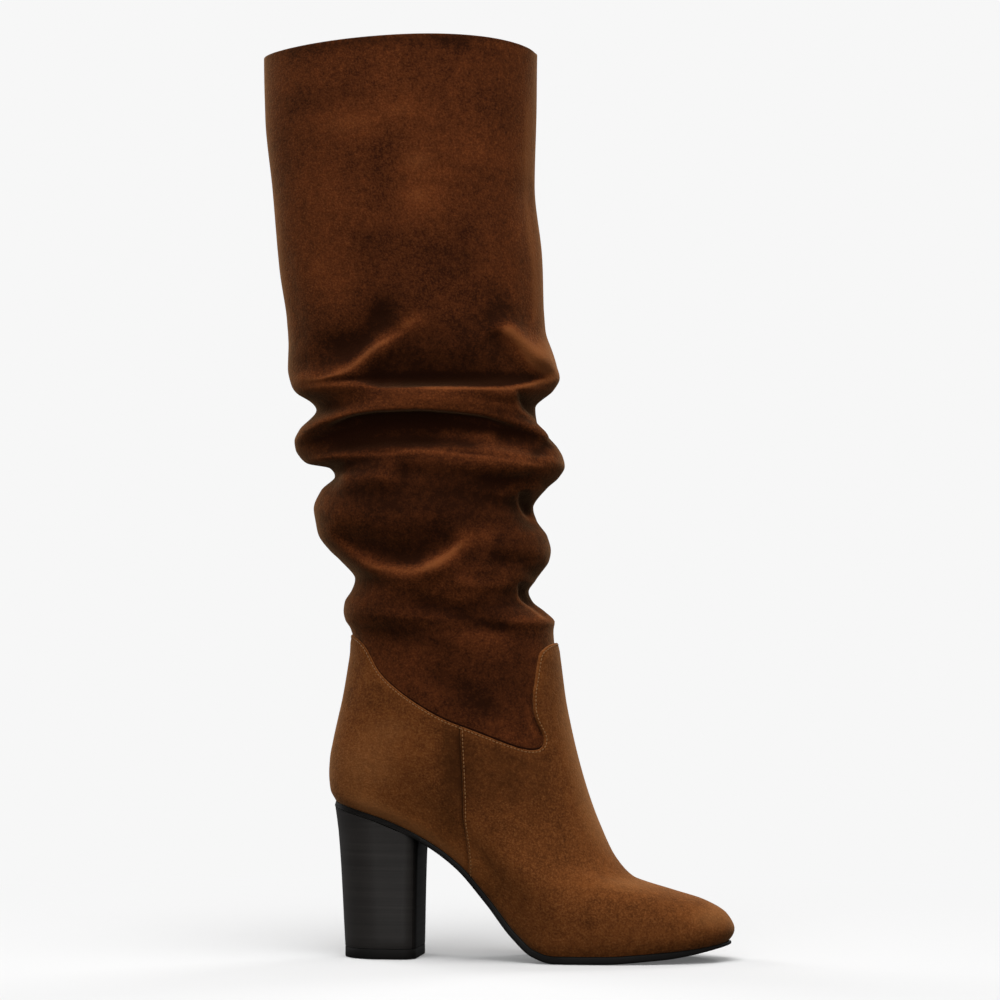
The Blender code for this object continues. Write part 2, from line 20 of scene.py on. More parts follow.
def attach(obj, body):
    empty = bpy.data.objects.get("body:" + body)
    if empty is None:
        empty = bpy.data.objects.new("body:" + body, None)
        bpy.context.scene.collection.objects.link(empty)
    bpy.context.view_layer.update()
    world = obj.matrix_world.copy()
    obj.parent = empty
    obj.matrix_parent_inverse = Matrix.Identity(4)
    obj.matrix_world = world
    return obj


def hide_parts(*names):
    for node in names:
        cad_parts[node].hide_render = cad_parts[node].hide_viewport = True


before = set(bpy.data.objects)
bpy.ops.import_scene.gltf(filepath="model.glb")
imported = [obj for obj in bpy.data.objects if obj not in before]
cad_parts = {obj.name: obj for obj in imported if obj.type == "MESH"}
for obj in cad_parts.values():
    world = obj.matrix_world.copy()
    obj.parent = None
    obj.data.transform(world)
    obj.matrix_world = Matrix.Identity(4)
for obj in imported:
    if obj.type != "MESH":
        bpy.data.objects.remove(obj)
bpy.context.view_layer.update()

bl_info = {
    "name": "Slouch Boot Looks",
    "version": (1, 0, 0),
    "blender": (4, 5, 0),
    "location": "3D View > Sidebar > Boot",
    "description": "Builds the suede, stitches, sole and heel of a slouch boot round its frame",
    "category": "Object",
}

MM = 0.001

# Walls and gaps of the solids.
GAP = 0.3
UPPER_WALL = 1.6
SHAFT_WALL = 1.6

# The vamp where it laps over the counter: its height, how far round the ring its edge is
# rounded, the rings over which it grows from the sole, and its columns of mesh points,
# with the room they keep from the other columns.
VAMP_LAP = 0.8
LAP_ROUND = 0.0027
LAP_GROWS = (-0.2, 0.4)
LAP_COLUMNS = (-0.004, 0.0, 0.0006, 0.0013, 0.0020, LAP_ROUND, 0.005, 0.0075, 0.010, 0.0125)
LAP_CLEAR = 0.003

# The groove behind the vamp's edge: its depth, its place and reach round the ring, and the
# painted shade in it for each millimetre of its depth.
GROOVE_DEPTH = 0.3
GROOVE_PLACE = -0.001
GROOVE_REACH = 0.0025
GROOVE_SHADE = 2.6

# Sole: its edge beside the feather edge and the edge's rounding, where the seat over the
# heel ends, where and how far the toe's edge reaches out and thins, and its rungs behind
# and ahead of the counter seam.
SOLE_EDGE = -0.2
SOLE_EDGE_ROUND = 0.6
SEAT_ENDS = (-48.0, -40.0)
TOE_TAPER = (96.0, 128.0)
TOE_REACH = 1.6
TOE_THINNED = 0.4
SOLE_RUNGS = (50, 130)

# Loops of the sole's edge from the tread up: how far each lies inside the edge, and its
# depth as a share of the sole's thickness.
SOLE_PROFILE = (
    (SOLE_EDGE_ROUND, 1.0), (0.25, 0.94), (0.08, 0.82), (0.0, 0.62), (0.0, 0.28), (0.06, 0.12), (0.25, 0.0),
)

# Heel: its rounded breast corners, the rungs round its back and along a corner, and the
# height of the top piece.
HEEL_CORNER = 8.0
HEEL_RUNGS = 40
CORNER_RUNGS = 10
TOP_PIECE = 5.6

# Where along x the heel's side ends and its breast is darkened by painted shade, as it faces
# away from the light, and the front rungs that have the breast's duller finish.
BREAST_SHADE = (-47.6, -44.2)
DULL_BREAST_RUNGS = 5

# Loops of the heel block from its foot up, as shares of its height, with their inset as
# a share of the edge's rounding.
HEEL_LOOPS = [(0.0, 0.15), (0.004, 0.0)] + [(level, 0.0) for level in np.linspace(0.08, 1.0, 12)]

# Loops of the top piece from the floor up: a share of its height, and shares of the edge's
# rounding for the rest of the height and for the inset.
TOP_PIECE_LOOPS = ((0.0, 0.0, 1.0), (0.0, 0.3, 0.3), (0.0, 1.0, 0.0), (1.0, -0.2, 0.0), (1.0, 0.0, 0.1))

# Places that agree to so many digits are one, and points closer than this, in metres, merge.
PLACE_DIGITS = 7
MERGE_DISTANCE = 1e-6

# Edges that turn by more than these angles stay crisp.
FOOT_CRISP = math.radians(60.0)
SOLE_CRISP = math.radians(40.0)
HEEL_CRISP = math.radians(35.0)

# The counter seam's place among the columns, and where the columns ahead of it meet
# the feather edge.
SEAM_PLACE = 0.36
FEATHER_STOPS = (-1.5, 6.5, 13.4, 19.0, 25.0, 35.5, 48.5, 61.5, 80.0, 98.0, 111.0, 120.5, 126.2, 128.2)
FEATHER_HOLD = 6.0

# The feather edge seen from the side, with the sole's thickness square to it.
SolePoint = namedtuple("SolePoint", "name x z thick")
SOLE_LINE = [SolePoint(*row) for row in (
    ("seat back", -96.0, 88.6, 2.6),
    ("seat", -61.0, 78.0, 2.6),
    ("breast", -36.0, 66.0, 2.8),
    ("arch top", -18.5, 53.4, 3.0),
    ("arch", -1.5, 34.2, 3.2),
    ("arch foot", 13.4, 16.2, 3.5),
    ("tread rear", 25.0, 7.0, 3.9),
    ("tread start", 35.0, 4.5, 4.2),
    ("tread end", 62.0, 4.5, 4.2),
    ("toe joint", 88.5, 6.0, 4.0),
    ("toe spring", 110.0, 7.8, 3.5),
    ("toe", 124.0, 9.9, 3.0),
    ("toe tip", 133.0, 12.0, 2.7),
)]

# Level sections of the heel, as shares of its height, with their back, half width and
# breast.
HeelSection = namedtuple("HeelSection", "name level back_x half breast_x")
HEEL_SECTIONS = [HeelSection(*row) for row in (
    ("tread", 0.00, -87.5, 23.2, -44.9),
    ("flare", 0.82, -91.3, 24.5, -43.9),
    ("seat", 1.00, -93.2, 25.3, -43.4),
)]

# Rings of the foot. hug is the share of the sole's curve a ring follows. Half widths
# are outer (lat) and inner (med) at the heel, waist and ball; rear_round and
# fore_round are where the heel and toe roundings start, and seam is the counter seam,
# all as shares of the ring's length.
FootRing = namedtuple(
    "FootRing",
    "name back_x back_z front_x front_z hug lat_rear lat_mid lat_fore med_rear med_mid"
    " med_fore rear_round fore_round seam",
)
FOOT_RINGS = [FootRing(*row) for row in (
    ("feather", -92.8, 87.6, 128.2, 10.9, 1.00, 25.5, 28.5, 41.0, 25.5, 22.5, 38.5, 0.12, 0.60, 0.360),
    ("edge", -95.8, 94.0, 131.0, 17.6, 0.91, 28.5, 31.0, 43.0, 28.5, 26.5, 41.0, 0.14, 0.59, 0.365),
    ("toe top", -96.6, 103.0, 127.0, 25.4, 0.80, 30.0, 33.0, 43.2, 30.0, 29.5, 41.5, 0.16, 0.58, 0.372),
    ("vamp low", -96.2, 111.5, 115.5, 32.3, 0.68, 31.0, 34.5, 42.5, 31.0, 32.0, 41.5, 0.18, 0.56, 0.388),
    ("vamp", -94.5, 121.0, 97.0, 37.8, 0.53, 31.8, 35.6, 41.0, 31.8, 34.0, 40.5, 0.21, 0.54, 0.418),
    ("vamp break", -92.0, 132.0, 76.8, 43.9, 0.37, 32.4, 36.3, 39.5, 32.4, 35.2, 39.2, 0.25, 0.52, 0.455),
    ("instep low", -89.6, 142.4, 64.4, 56.2, 0.24, 33.0, 36.8, 38.2, 33.0, 36.0, 38.0, 0.29, 0.52, 0.482),
    ("instep", -87.6, 152.4, 56.0, 73.6, 0.14, 33.6, 37.2, 37.6, 33.6, 36.6, 37.6, 0.33, 0.50, 0.498),
    ("instep high", -86.0, 162.0, 48.8, 93.0, 0.07, 34.3, 37.5, 37.5, 34.3, 37.2, 37.5, 0.38, 0.50, 0.512),
    ("ankle low", -84.8, 171.0, 42.2, 116.3, 0.02, 35.2, 37.8, 37.8, 35.2, 37.8, 37.8, 0.42, 0.50, 0.530),
    ("ankle", -84.6, 177.5, 36.2, 144.2, 0.00, 36.2, 38.2, 38.2, 36.2, 38.2, 38.2, 0.46, 0.50, 0.530),
    ("ankle top", -86.0, 183.0, 32.0, 181.0, 0.00, 37.6, 38.8, 38.8, 37.6, 38.8, 38.8, 0.50, 0.50, 0.520),
)]

# Rings of the leg, a row for each crest and hollow of the slouch. lat and med give
# the height and half width at the middle of the outer and inner sides.
LegRing = namedtuple("LegRing", "name back_x back_z front_x front_z lat_z lat_w med_z med_w")
LEG_RINGS = [LegRing(*row) for row in (
    ("ankle roll", -88.2, 188.5, 31.8, 187.6, 187.5, 39.6, 188.0, 39.6),
    ("low crest", -88.2, 193.6, 25.0, 193.6, 192.0, 40.2, 193.5, 40.8),
    ("low hollow", -87.4, 198.8, 18.1, 199.0, 197.5, 40.0, 199.0, 39.0),
    ("low band", -83.6, 205.4, 15.8, 204.7, 204.0, 40.8, 205.0, 40.6),
    ("back notch", -81.9, 212.0, 19.8, 211.2, 210.6, 41.6, 212.0, 41.4),
    ("smile crest", -89.7, 221.6, 27.1, 221.8, 219.0, 41.8, 220.5, 42.4),
    ("smile hollow", -96.6, 228.0, 28.2, 228.0, 226.0, 41.6, 227.5, 39.6),
    ("pillow low", -102.9, 237.4, 26.5, 235.3, 235.0, 42.8, 236.5, 42.4),
    ("pillow", -105.2, 250.4, 20.3, 244.3, 248.0, 44.2, 247.5, 44.0),
    ("front notch", -101.2, 261.0, 18.4, 251.6, 260.0, 43.0, 256.5, 42.8),
    ("mid band", -93.2, 269.0, 26.0, 261.6, 270.0, 42.6, 266.0, 41.6),
    ("mid shelf", -96.0, 273.6, 33.0, 268.0, 278.0, 44.2, 273.0, 43.6),
    ("mid crest", -109.0, 276.2, 36.2, 274.4, 284.6, 43.4, 279.5, 42.8),
    ("arch floor", -113.6, 280.2, 35.2, 279.4, 289.6, 38.0, 285.0, 39.0),
    ("arch hollow", -115.8, 284.4, 32.6, 284.2, 297.0, 35.0, 291.0, 36.6),
    ("arch roof", -116.2, 289.0, 27.8, 289.8, 303.4, 40.0, 297.0, 39.8),
    ("arch lip", -113.2, 295.6, 21.0, 298.4, 307.0, 46.0, 302.0, 45.0),
    ("top notch", -103.5, 306.2, 19.8, 307.4, 312.2, 46.4, 309.0, 45.6),
    ("top crest", -113.2, 316.2, 29.8, 317.2, 318.4, 45.2, 317.0, 44.6),
    ("top hollow", -117.4, 321.6, 33.6, 324.4, 323.8, 38.8, 323.0, 40.0),
    ("shoulder low", -119.8, 330.0, 31.8, 331.6, 336.5, 42.6, 335.0, 42.8),
    ("shoulder", -119.8, 349.0, 25.4, 351.0, 356.0, 45.8, 354.0, 45.4),
    ("leg low", -125.0, 386.0, 23.2, 394.0, 392.0, 46.2, 391.0, 46.2),
    ("leg", -128.8, 430.0, 19.4, 432.0, 432.0, 46.6, 431.5, 46.6),
    ("leg high", -133.0, 470.0, 20.2, 469.0, 472.0, 46.9, 471.0, 46.9),
    ("collar", -133.8, 504.6, 20.9, 505.2, 513.6, 47.0, 512.6, 47.0),
)]

# Soft ridges (rise above 0) and hollows (below 0) that run across one side of the leg.
# Each passes through its places seen from the side; width is half across. A fold with a
# snap ends that close to its line on the left of its run, which leaves a sharp edge.
Fold = namedtuple("Fold", "name side rise width places snap", defaults=(0.0,))
OUTER, INNER, BOTH = 0, 1, 2
FOLDS = [Fold(*row) for row in (
    ("shoulder back ridge", OUTER, 3.2, 7.0, ((-110, 320), (-78, 330), (-46, 352))),
    ("shoulder back hollow", OUTER, -3.2, 9.0, ((-104, 336), (-72, 346), (-50, 371))),
    ("shoulder front ridge", OUTER, 3.2, 6.5, ((34, 325), (20, 336), (10, 347), (0, 360))),
    ("arch front hollow", OUTER, -2.5, 5.5, ((-4, 292), (16, 287), (34, 279))),
    ("crest dip front", OUTER, -1.2, 5.5, ((32, 270), (11, 267), (-10, 265))),
    ("mid fill back", OUTER, 5.0, 7.0, ((-93, 268), (-76, 268.5), (-46, 270))),
    ("smile hollow", OUTER, -2.4, 9.0, ((-92, 240), (-50, 228), (-12, 244))),
    ("smile crest", OUTER, 3.0, 6.0, ((-92, 231), (-47, 214), (-6, 233))),
    ("front nick", OUTER, -1.4, 5.5, ((11, 260), (17, 249), (25, 239))),
    ("front low hollow", OUTER, -1.8, 6.5, ((-6, 224), (10, 221), (26, 223))),
    ("low hollow", OUTER, -1.8, 6.5, ((-50, 203), (-16, 192), (20, 183))),
    ("low ridge", OUTER, 1.0, 6.5, ((-72, 196), (-28, 182), (8, 172))),
    ("back bridge", OUTER, 4.8, 7.0, ((-124, 321), (-100, 322.5), (-60, 324))),
    ("low fill", OUTER, 1.4, 6.0, ((-26, 203), (0, 202), (20, 204))),
    ("ankle hollow", OUTER, -1.2, 9.0, ((-48, 170), (-16, 150), (12, 130))),
    ("shoulder back ridge", INNER, 3.0, 8.0, ((-110, 322), (-74, 329), (-38, 347))),
    ("shoulder front ridge", INNER, 3.0, 8.0, ((31, 326), (10, 340), (-16, 366))),
    ("smile hollow", INNER, -4.0, 7.0, ((-62, 240), (-22, 226), (14, 238))),
    ("low hollow", INNER, -3.2, 7.0, ((-58, 198), (-22, 192), (14, 178))),
    ("ankle hollow", INNER, -1.6, 9.0, ((-44, 168), (-12, 150), (14, 134))),
)]

# Sharper creases that lie over the folds: the steps from one roll down to the next.
CREASES = [Fold(*row) for row in (
    ("shoulder back step", OUTER, -1.8, 7.0, (
        (-45, 352), (-66, 341.5), (-77, 333), (-84, 328.5), (-100, 324)), 1.6),
    ("shoulder front step", OUTER, -1.8, 9.0, ((-1, 351), (11, 341), (20, 332.6), (34, 322.6)), 2.6),
    ("top valley", OUTER, -1.8, 6.0, (
        (36, 324.6), (27, 323.6), (20, 321.6), (12, 320.2), (2, 319.6), (-18, 320), (-38, 320.2),
        (-57, 319.6), (-74, 320.6)), 1.5),
    ("arch shade", OUTER, -2.0, 6.0, (
        (-99, 291), (-85, 298.6), (-74, 301.6), (-61, 303.1), (-42, 303.5), (-24, 302.7), (-7, 301.2),
        (4, 298.4), (14, 294.8), (25, 289.2), (37, 281)), 1.5),
    ("gusset shoulder", OUTER, 2.6, 11.0, (
        (11.5, 319), (12, 314), (13.8, 307.5), (19, 301.6), (26, 296.5), (33, 292)), 1.3),
    ("gusset", OUTER, -1.0, 5.5, ((31, 293.5), (26, 296.5), (19, 301.6), (13.8, 307.5), (12, 315)), 1.2),
    ("crest step", OUTER, -1.2, 5.0, (
        (37, 275.5), (26, 276.8), (15, 279), (-2, 281.4), (-18, 283.3), (-33, 285), (-41, 285.4),
        (-50, 284.2), (-61, 282.7), (-76, 282.6), (-96, 282.8)), 1.6),
    ("crest trough", OUTER, -0.6, 4.0, ((-12, 267), (2, 266), (14, 267.5), (28, 270))),
    ("crest under ridge", OUTER, 0.9, 3.6, ((0, 258), (11, 260), (27, 264))),
    ("nick", OUTER, -1.5, 3.6, (
        (25, 242), (20.4, 246), (17, 249.7), (15.2, 253), (14.5, 256.4), (14.6, 262)), 1.0),
    ("smile step", OUTER, -2.0, 8.0, (
        (-14, 238), (-19, 233), (-26, 227.2), (-35, 222.4), (-44, 220.4), (-57, 221), (-66, 223.2),
        (-76, 227.8), (-85, 234), (-92, 241)), 1.8),
    ("front low line", OUTER, -0.7, 5.0, ((4, 224), (14, 220), (28, 221))),
    ("ridge under smile", OUTER, 1.2, 4.5, ((-22, 212), (-3, 208), (12, 211), (20, 216))),
    ("notch", OUTER, -2.2, 3.6, (
        (30, 190), (22, 195.4), (18, 198.2), (14.4, 201), (13, 203.6), (13.1, 207), (14, 212)), 1.0),
    ("low line", OUTER, -0.7, 4.4, ((-46, 202), (-16, 192), (14, 183.5))),
    ("front edge crease", OUTER, -0.9, 5.0, ((17, 440), (19, 395), (19, 357), (25, 333))),
    ("back edge crease", OUTER, -0.6, 5.0, ((-119, 400), (-113, 368), (-106, 340))),
    ("top valley", INNER, -1.8, 6.0, ((30, 321.5), (-8, 318), (-50, 318), (-84, 320)), 1.5),
    ("arch shade", INNER, -2.4, 6.0, ((-98, 287), (-66, 297), (-26, 301), (8, 295), (34, 279)), 1.5),
    ("crest step", INNER, -1.2, 5.0, ((36, 276), (-20, 282), (-60, 282), (-98, 279)), 1.6),
    ("smile step", INNER, -2.0, 8.0, ((22, 239), (7, 227), (-18, 219), (-44, 222), (-72, 238)), 1.8),
    ("low line", INNER, -1.1, 4.4, ((-60, 201), (-22, 194), (16, 180))),
)]

# Lines of painted light on the leg: pale where the nap is rubbed and the fold's lip catches the
# light, as painted highlight (rise above 0, a share of tone), and painted shade (below 0).
RUBS_AND_PAINTED_LIGHT = [Fold(*row) for row in (
    ("shoulder back rub", OUTER, 0.6, 2.8, ((-92, 325), (-78, 331), (-66, 340), (-50, 350.5), (-34, 359))),
    ("shoulder front rub", OUTER, 0.8, 3.6, ((4, 354), (12, 346), (20.4, 336.4), (30, 328), (36, 323))),
    ("top rub", OUTER, 0.55, 1.6, (
        (-44, 318.4), (-12, 318.2), (2, 317.8), (12, 318.6), (20, 320.2), (27, 322.2), (36, 323.4))),
    ("top shelf shade", OUTER, -0.55, 4.0, (
        (33, 325), (27, 323.8), (20, 321.8), (12, 320.4), (2, 319.8), (-18, 320.2), (-38, 320.4),
        (-57, 320)), 1.2),
    ("gusset rub", OUTER, 0.5, 1.3, ((10.8, 315), (12.6, 307.2), (18.2, 300.8), (30, 292.8))),
    ("crest rub", OUTER, 0.2, 2.0, (
        (-80, 281), (-50, 282.6), (-40, 283.6), (-18, 281.6), (15, 277.4), (36, 274))),
    ("nick rub", OUTER, 0.75, 1.1, (
        (13.2, 261), (13.5, 256.2), (14.3, 252.5), (16.1, 249), (19.5, 245.2), (25, 241))),
    ("nick shade", OUTER, -0.7, 2.0, ((17.4, 263), (17, 257), (17.6, 252.8), (20, 249))),
    ("smile rub", OUTER, 0.4, 3.2, (
        (-92, 236), (-84, 231), (-75, 225.6), (-66, 221), (-57, 218.6), (-44, 218), (-35, 219.8),
        (-25, 224.6), (-18, 230), (-8, 234))),
    ("smile arm", OUTER, 0.35, 5.0, ((-40, 220), (-24, 228), (-12, 235), (4, 237))),
    ("arch floor shade", OUTER, -0.40, 3.6, ((-94, 287), (-60, 287), (-40, 289), (-18, 287.5), (0, 285))),
    ("arch floor light", OUTER, 0.35, 5.0, ((-34, 291), (-10, 290), (8, 287), (26, 281))),
    ("front edge rub", OUTER, 0.42, 1.3, (
        (18, 485), (17.3, 455), (17.2, 430), (19.4, 406), (21.6, 386), (22.4, 367), (21, 345))),
    ("front edge strip", BOTH, 0.32, 7.5, (
        (20.5, 508), (19.8, 470), (18.8, 440), (21, 412), (23, 388), (25, 358), (28, 336))),
    ("back edge rub", OUTER, 0.16, 3.0, ((-126, 432), (-121, 395), (-115, 365), (-112, 340))),
    ("back edge strip", BOTH, 0.2, 5.0, ((-130, 450), (-126, 395), (-121, 365), (-117, 335))),
    ("notch rub", OUTER, 0.75, 1.1, (
        (12.4, 211), (11.9, 206), (11.9, 202.7), (13.3, 199.9), (17.4, 197.1), (21.5, 194.3), (28, 189.5))),
    ("notch shade", OUTER, -0.7, 2.0, ((16, 212), (15, 206), (15.8, 202.6), (19.5, 199.4))),
    ("seam rub", OUTER, 0.35, 1.5, ((19, 143), (20.4, 137), (22.6, 130.4), (25.4, 123))),
    ("rim shade", BOTH, -0.3, 5.0, ((-125, 505), (-90, 510), (-50, 512), (0, 510))),
)]

# The same on the foot: painted highlight along the instep's front edge, where light from the
# toe's side falls, and painted sheen along the counter's lower edge.
FOOT_PAINTED_LIGHT = [Fold(*row) for row in (
    ("instep strip", BOTH, 0.65, 10.0, (
        (39, 172), (41, 148), (44.5, 120), (50.5, 97), (58, 76), (67, 58), (78, 46))),
    ("counter edge", BOTH, 0.5, 6.0, (
        (-98, 94), (-76, 86.5), (-56, 78.5), (-38, 69.5), (-22, 58), (-6, 42))),
)]

# Points along a fold's line, the share of its run over which a fold or a crease fades at
# each end, how far off the boot's middle line it has its full height, how many widths it
# reaches, and the rows and columns over which its direction is evened out.
FOLD_SAMPLES = 160
FOLD_FADE = 0.3
CREASE_FADE = 0.14
EDGE_FADE = 12.0
FOLD_REACH = 3.0
FOLD_ROWS = 6
FOLD_COLUMNS = 4

# Smooth unevenness of the leather: its height, its wave along x, y and z, and its seed.
Ripple = namedtuple("Ripple", "name rise wave seed")
SLOUCH_RIPPLE = Ripple("slouch", 0.5, (34.0, 34.0, 11.0), 7.3)
LEG_RIPPLE = Ripple("leg", 0.35, (26.0, 26.0, 34.0), 2.1)
FOOT_RIPPLE = Ripple("foot", 0.22, (22.0, 22.0, 22.0), 4.6)

# Painted light and shade on the leg: its own lines are made lighter as painted highlight and
# its hollows darker as painted shade, found against the leg smoothed over so many rows and
# columns, with a weight for each millimetre, up to a limit.
LINE_REACH = (3, 3)
HOLLOW_REACH = (9, 7)
LINE_TONE = 0.35
HOLLOW_TONE = 0.04
TONE_LIMIT = 0.4

# Heights between which the leg goes slack and taut again, and how much darker the colour
# is made there and on the whole leg.
SLOUCH = (172.0, 205.0, 335.0, 378.0)
SLOUCH_SHADE = 0.26
LEG_SHADE = 0.10

# The lining has one row of points for so many of the suede's, and hangs loose by so much
# in the slouch.
LINING_ROWS = 5
LINING_SLACK = 3.2

# Patches of tone seen from the side, with their half widths along x and z, lighter above 0
# and darker below: on the upper leg brushed-up and flattened nap, and through the slouch
# painted highlight on faces that catch the light, and darker patches.
Patch = namedtuple("Patch", "name x z half_x half_z shade")
LEG_PATCHES = [Patch(*row) for row in (
    ("under hem", -92, 478, 34, 7, -0.25),
    ("high back", -75, 465, 30, 11, 0.35),
    ("high middle", -47, 473, 14, 7, 0.30),
    ("high front", 8, 470, 14, 20, -0.12),
    ("middle", -42, 443, 12, 8, 0.45),
    ("middle low", -40, 424, 12, 8, 0.45),
    ("middle back", -58, 446, 14, 18, -0.18),
    ("middle front", -12, 448, 28, 11, 0.25),
    ("back", -93, 433, 18, 22, 0.22),
    ("back low", -93, 388, 18, 20, 0.30),
    ("back shade", -72, 395, 20, 18, -0.20),
    ("front shade", -14, 393, 28, 18, -0.22),
    ("front low", 4, 404, 14, 10, 0.15),
    ("over back ridge", -58, 364, 16, 14, -0.30),
    ("over front ridge", 4, 362, 10, 12, -0.20),
    ("front ridge face", 27, 337, 10, 13, 1.0),
    ("shoulder back foot", -101, 322.5, 15, 5, 0.50),
    ("roll middle", -30, 311, 46, 5, 0.40),
    ("ankle front", 8, 160, 16, 12, -0.10),
    ("between ridges", -24, 342, 38, 14, -0.04),
    ("roll back", -80, 313, 16, 7, 0.22),
    ("roll front", 26, 319, 9, 5, 0.30),
    ("crest front", 24, 266, 9, 10, 0.20),
    ("pillow", -42, 254, 44, 16, -0.16),
    ("pillow back", -84, 240, 16, 10, 0.20),
    ("under smile", -32, 208, 50, 11, 0.22),
    ("low leg", -10, 184, 46, 11, -0.18),
    ("ankle", -5, 148, 40, 26, -0.18),
)]
# On the foot, the vamp top and toe patches are painted highlight on faces turned up to the light.
FOOT_PATCHES = [Patch(*row) for row in (
    ("counter low", -71, 107, 28, 20, 0.40),
    ("counter high", -56, 130, 22, 10, 0.25),
    ("behind seam", -21, 108, 10, 28, -0.35),
    ("ahead of seam", -10, 60, 8, 20, 0.25),
    ("quarter", 8, 106, 30, 24, -0.30),
    ("vamp top", 88, 43, 38, 6, 0.45),
    ("toe", 122, 25, 15, 8, 0.50),
)]

# The seam where the foot laps over the leg, seen from the side, back to front.
SEAM_LINE = [
    (-110.0, 180.2), (-84.6, 180.0), (-79.1, 178.0), (-74.4, 174.6), (-70.0, 168.4), (-66.8, 163.0),
    (-63.2, 158.6), (-54.3, 151.0), (-39.7, 141.5), (-24.5, 133.6), (-13.2, 129.4), (-0.5, 124.6),
    (11.0, 120.1), (17.0, 118.2), (22.2, 117.4), (25.8, 117.9), (28.0, 119.9), (28.7, 123.0),
    (27.8, 126.6), (25.9, 130.6), (23.9, 135.4), (22.7, 141.0), (22.6, 148.0), (23.5, 155.0),
    (24.6, 164.0), (25.6, 170.2), (28.2, 173.6), (31.5, 175.8), (34.5, 176.6), (60.0, 177.0),
]

# Steps between two of its points, and a height well above it that closes its outline.
SEAM_SAMPLES = 6
SEAM_TOP = 230.0

# Painted shade in the gap beside the seam: full up to the first distance above it, gone at
# the second. Points that are clear of the seam count as so far above it.
SEAM_GAP = (0.5, 1.2)
SEAM_SHADE = 1.0
SEAM_CLEAR = 200.0

# The foot's cut top edge: the reach of its thinning, the drop of its rounding, the groove
# that the stitches pull in and its half width, the levels below the edge and below the
# stitches at which faces are cut, and how far from the edge its distance is measured, for
# so many points at a time.
SKIVE_REACH = 5.0
EDGE_DROP = 0.6
STITCH_GROOVE = 0.2
STITCH_GROOVE_HALF = 0.4
EDGE_CUTS = (0.3, 0.7)
STITCH_CUTS = (0.0, 0.5, 1.2)
EDGE_FAR = 30.0
EDGE_BATCH = 4000

# The colour is paler along the foot's top edge, over a reach in millimetres, and darker
# along the sole, over a reach in rings.
EDGE_TONE = 0.2
EDGE_TONE_REACH = 1.2
SOLE_TONE = -0.12
SOLE_TONE_REACH = 0.5

# The side seams' stitches start at this ring, follow a line of so many points and stop
# this far short of the top row. A stitch stands up by a share of the thread's thickness.
SIDE_SEAM_START = 0.25
SIDE_SEAM_POINTS = 400
SIDE_SEAM_CLEAR = 1.0
STITCH_LIFT = 0.15

# The leg starts inside the foot at this ring and leaves it between the next two.
LAP_RING = 7.0
LAP_LEAVES = 11.0
LAP_GONE = 13.0

# Width stations along a ring, the fullness of its rounded ends, and how roundly the
# sides of a leg ring rise from its back and its front.
STATIONS = (0.15, 0.40, 0.62)
FULLNESS = 2.1
BOW_BACK = 1.3
BOW_FRONT = 0.55

# The collar's rim rises to a peak ahead of the middle. Its edge is rounded in so many rows
# of points, and its colour is darker.
RIM_RINGS = 2.0
RIM_BOW = 0.55
RIM_SKEW = 1.6
RIM_ROWS = 7
RIM_TONE = -0.3

# A small step along the form, for its slopes.
NUDGE = 0.002

# The rings that set the spacing of columns, on the leg counted down from the collar; the
# step of the foot's rows as a share of its columns'; and the samples that the spacing is
# measured from: for each ring, on so many paths up the form, and once round a ring.
LEG_GIRTH_DROP = 3.0
FOOT_GIRTH_RING = 3.0
FOOT_ROW_SHARE = 0.8
ROW_SAMPLES = 60
ROW_PATHS = 12
COLUMN_SAMPLES = 2001

# Sizes of the fine patterns: clouds and pores of the lining, clouds and the run of a layer
# of the heel's stack, scuffs and grit of the rubber, and shades of the thread.
LINING_CLOUD = 18.0
LINING_PORE = 1.6
STACK_CLOUD = 20.0
LAYER_RUN = 166.67
RUBBER_SCUFF = 12.0
SOLE_GRIT = 0.9
TOP_PIECE_GRIT = 0.8
THREAD_SHADE = 4.0

# The sole's seat is painted as the heel is, darkened to this share of the heel's colour as
# painted shade, so that its lit rounded edge does not stand out lighter than the heel.
SEAT_SHADE = 0.4

# Stage in metres: the floor's corners and drop below the boot, the distances over which
# it goes from catching shadows to plain, and its least glow; the sky's heights and the
# strength of its light there; what the lights aim at; the camera's sensor in millimetres.
FLOOR_SIDES = 96
FLOOR_DROP = 0.0002
SHADOW_ZONE = (0.10, 0.6)
FLOOR_GLOW = 0.12
SKY_HEIGHTS = (-0.3, 0.7)
SKY_LIGHT = (0.06, 0.34)
LIGHT_AIM = (0.0, 0.0, 0.28)
SENSOR = 36.0
StudioLight = namedtuple("StudioLight", "name place width watts")
STUDIO_LIGHTS = [StudioLight(*row) for row in (
    ("key light", (0.1, -2.0, 0.9), 1.4, 13.0),
    ("top light", (0.05, -0.55, 1.9), 1.2, 30.0),
    ("back light", (-1.5, 1.0, 1.0), 0.9, 14.0),
    ("toe light", (0.9, 1.5, 1.4), 0.8, 12.0),
)]


def hex_linear(text):
    """Linear red, green and blue of an sRGB hex colour."""
    values = [int(text[i:i + 2], 16) / 255.0 for i in (0, 2, 4)]
    return tuple(v / 12.92 if v <= 0.04045 else ((v + 0.055) / 1.055) ** 2.4 for v in values)


def length(name, description, default):
    """A length in metres that a user can change."""
    return FloatProperty(
        name=name, description=description, default=default, min=0.0, subtype="DISTANCE", unit="LENGTH",
    )


def colour(name, description, text):
    """A colour that a user can change, given as an sRGB hex value."""
    return FloatVectorProperty(
        name=name, description=description, default=hex_linear(text), size=3, min=0.0, max=1.0,
        subtype="COLOR",
    )


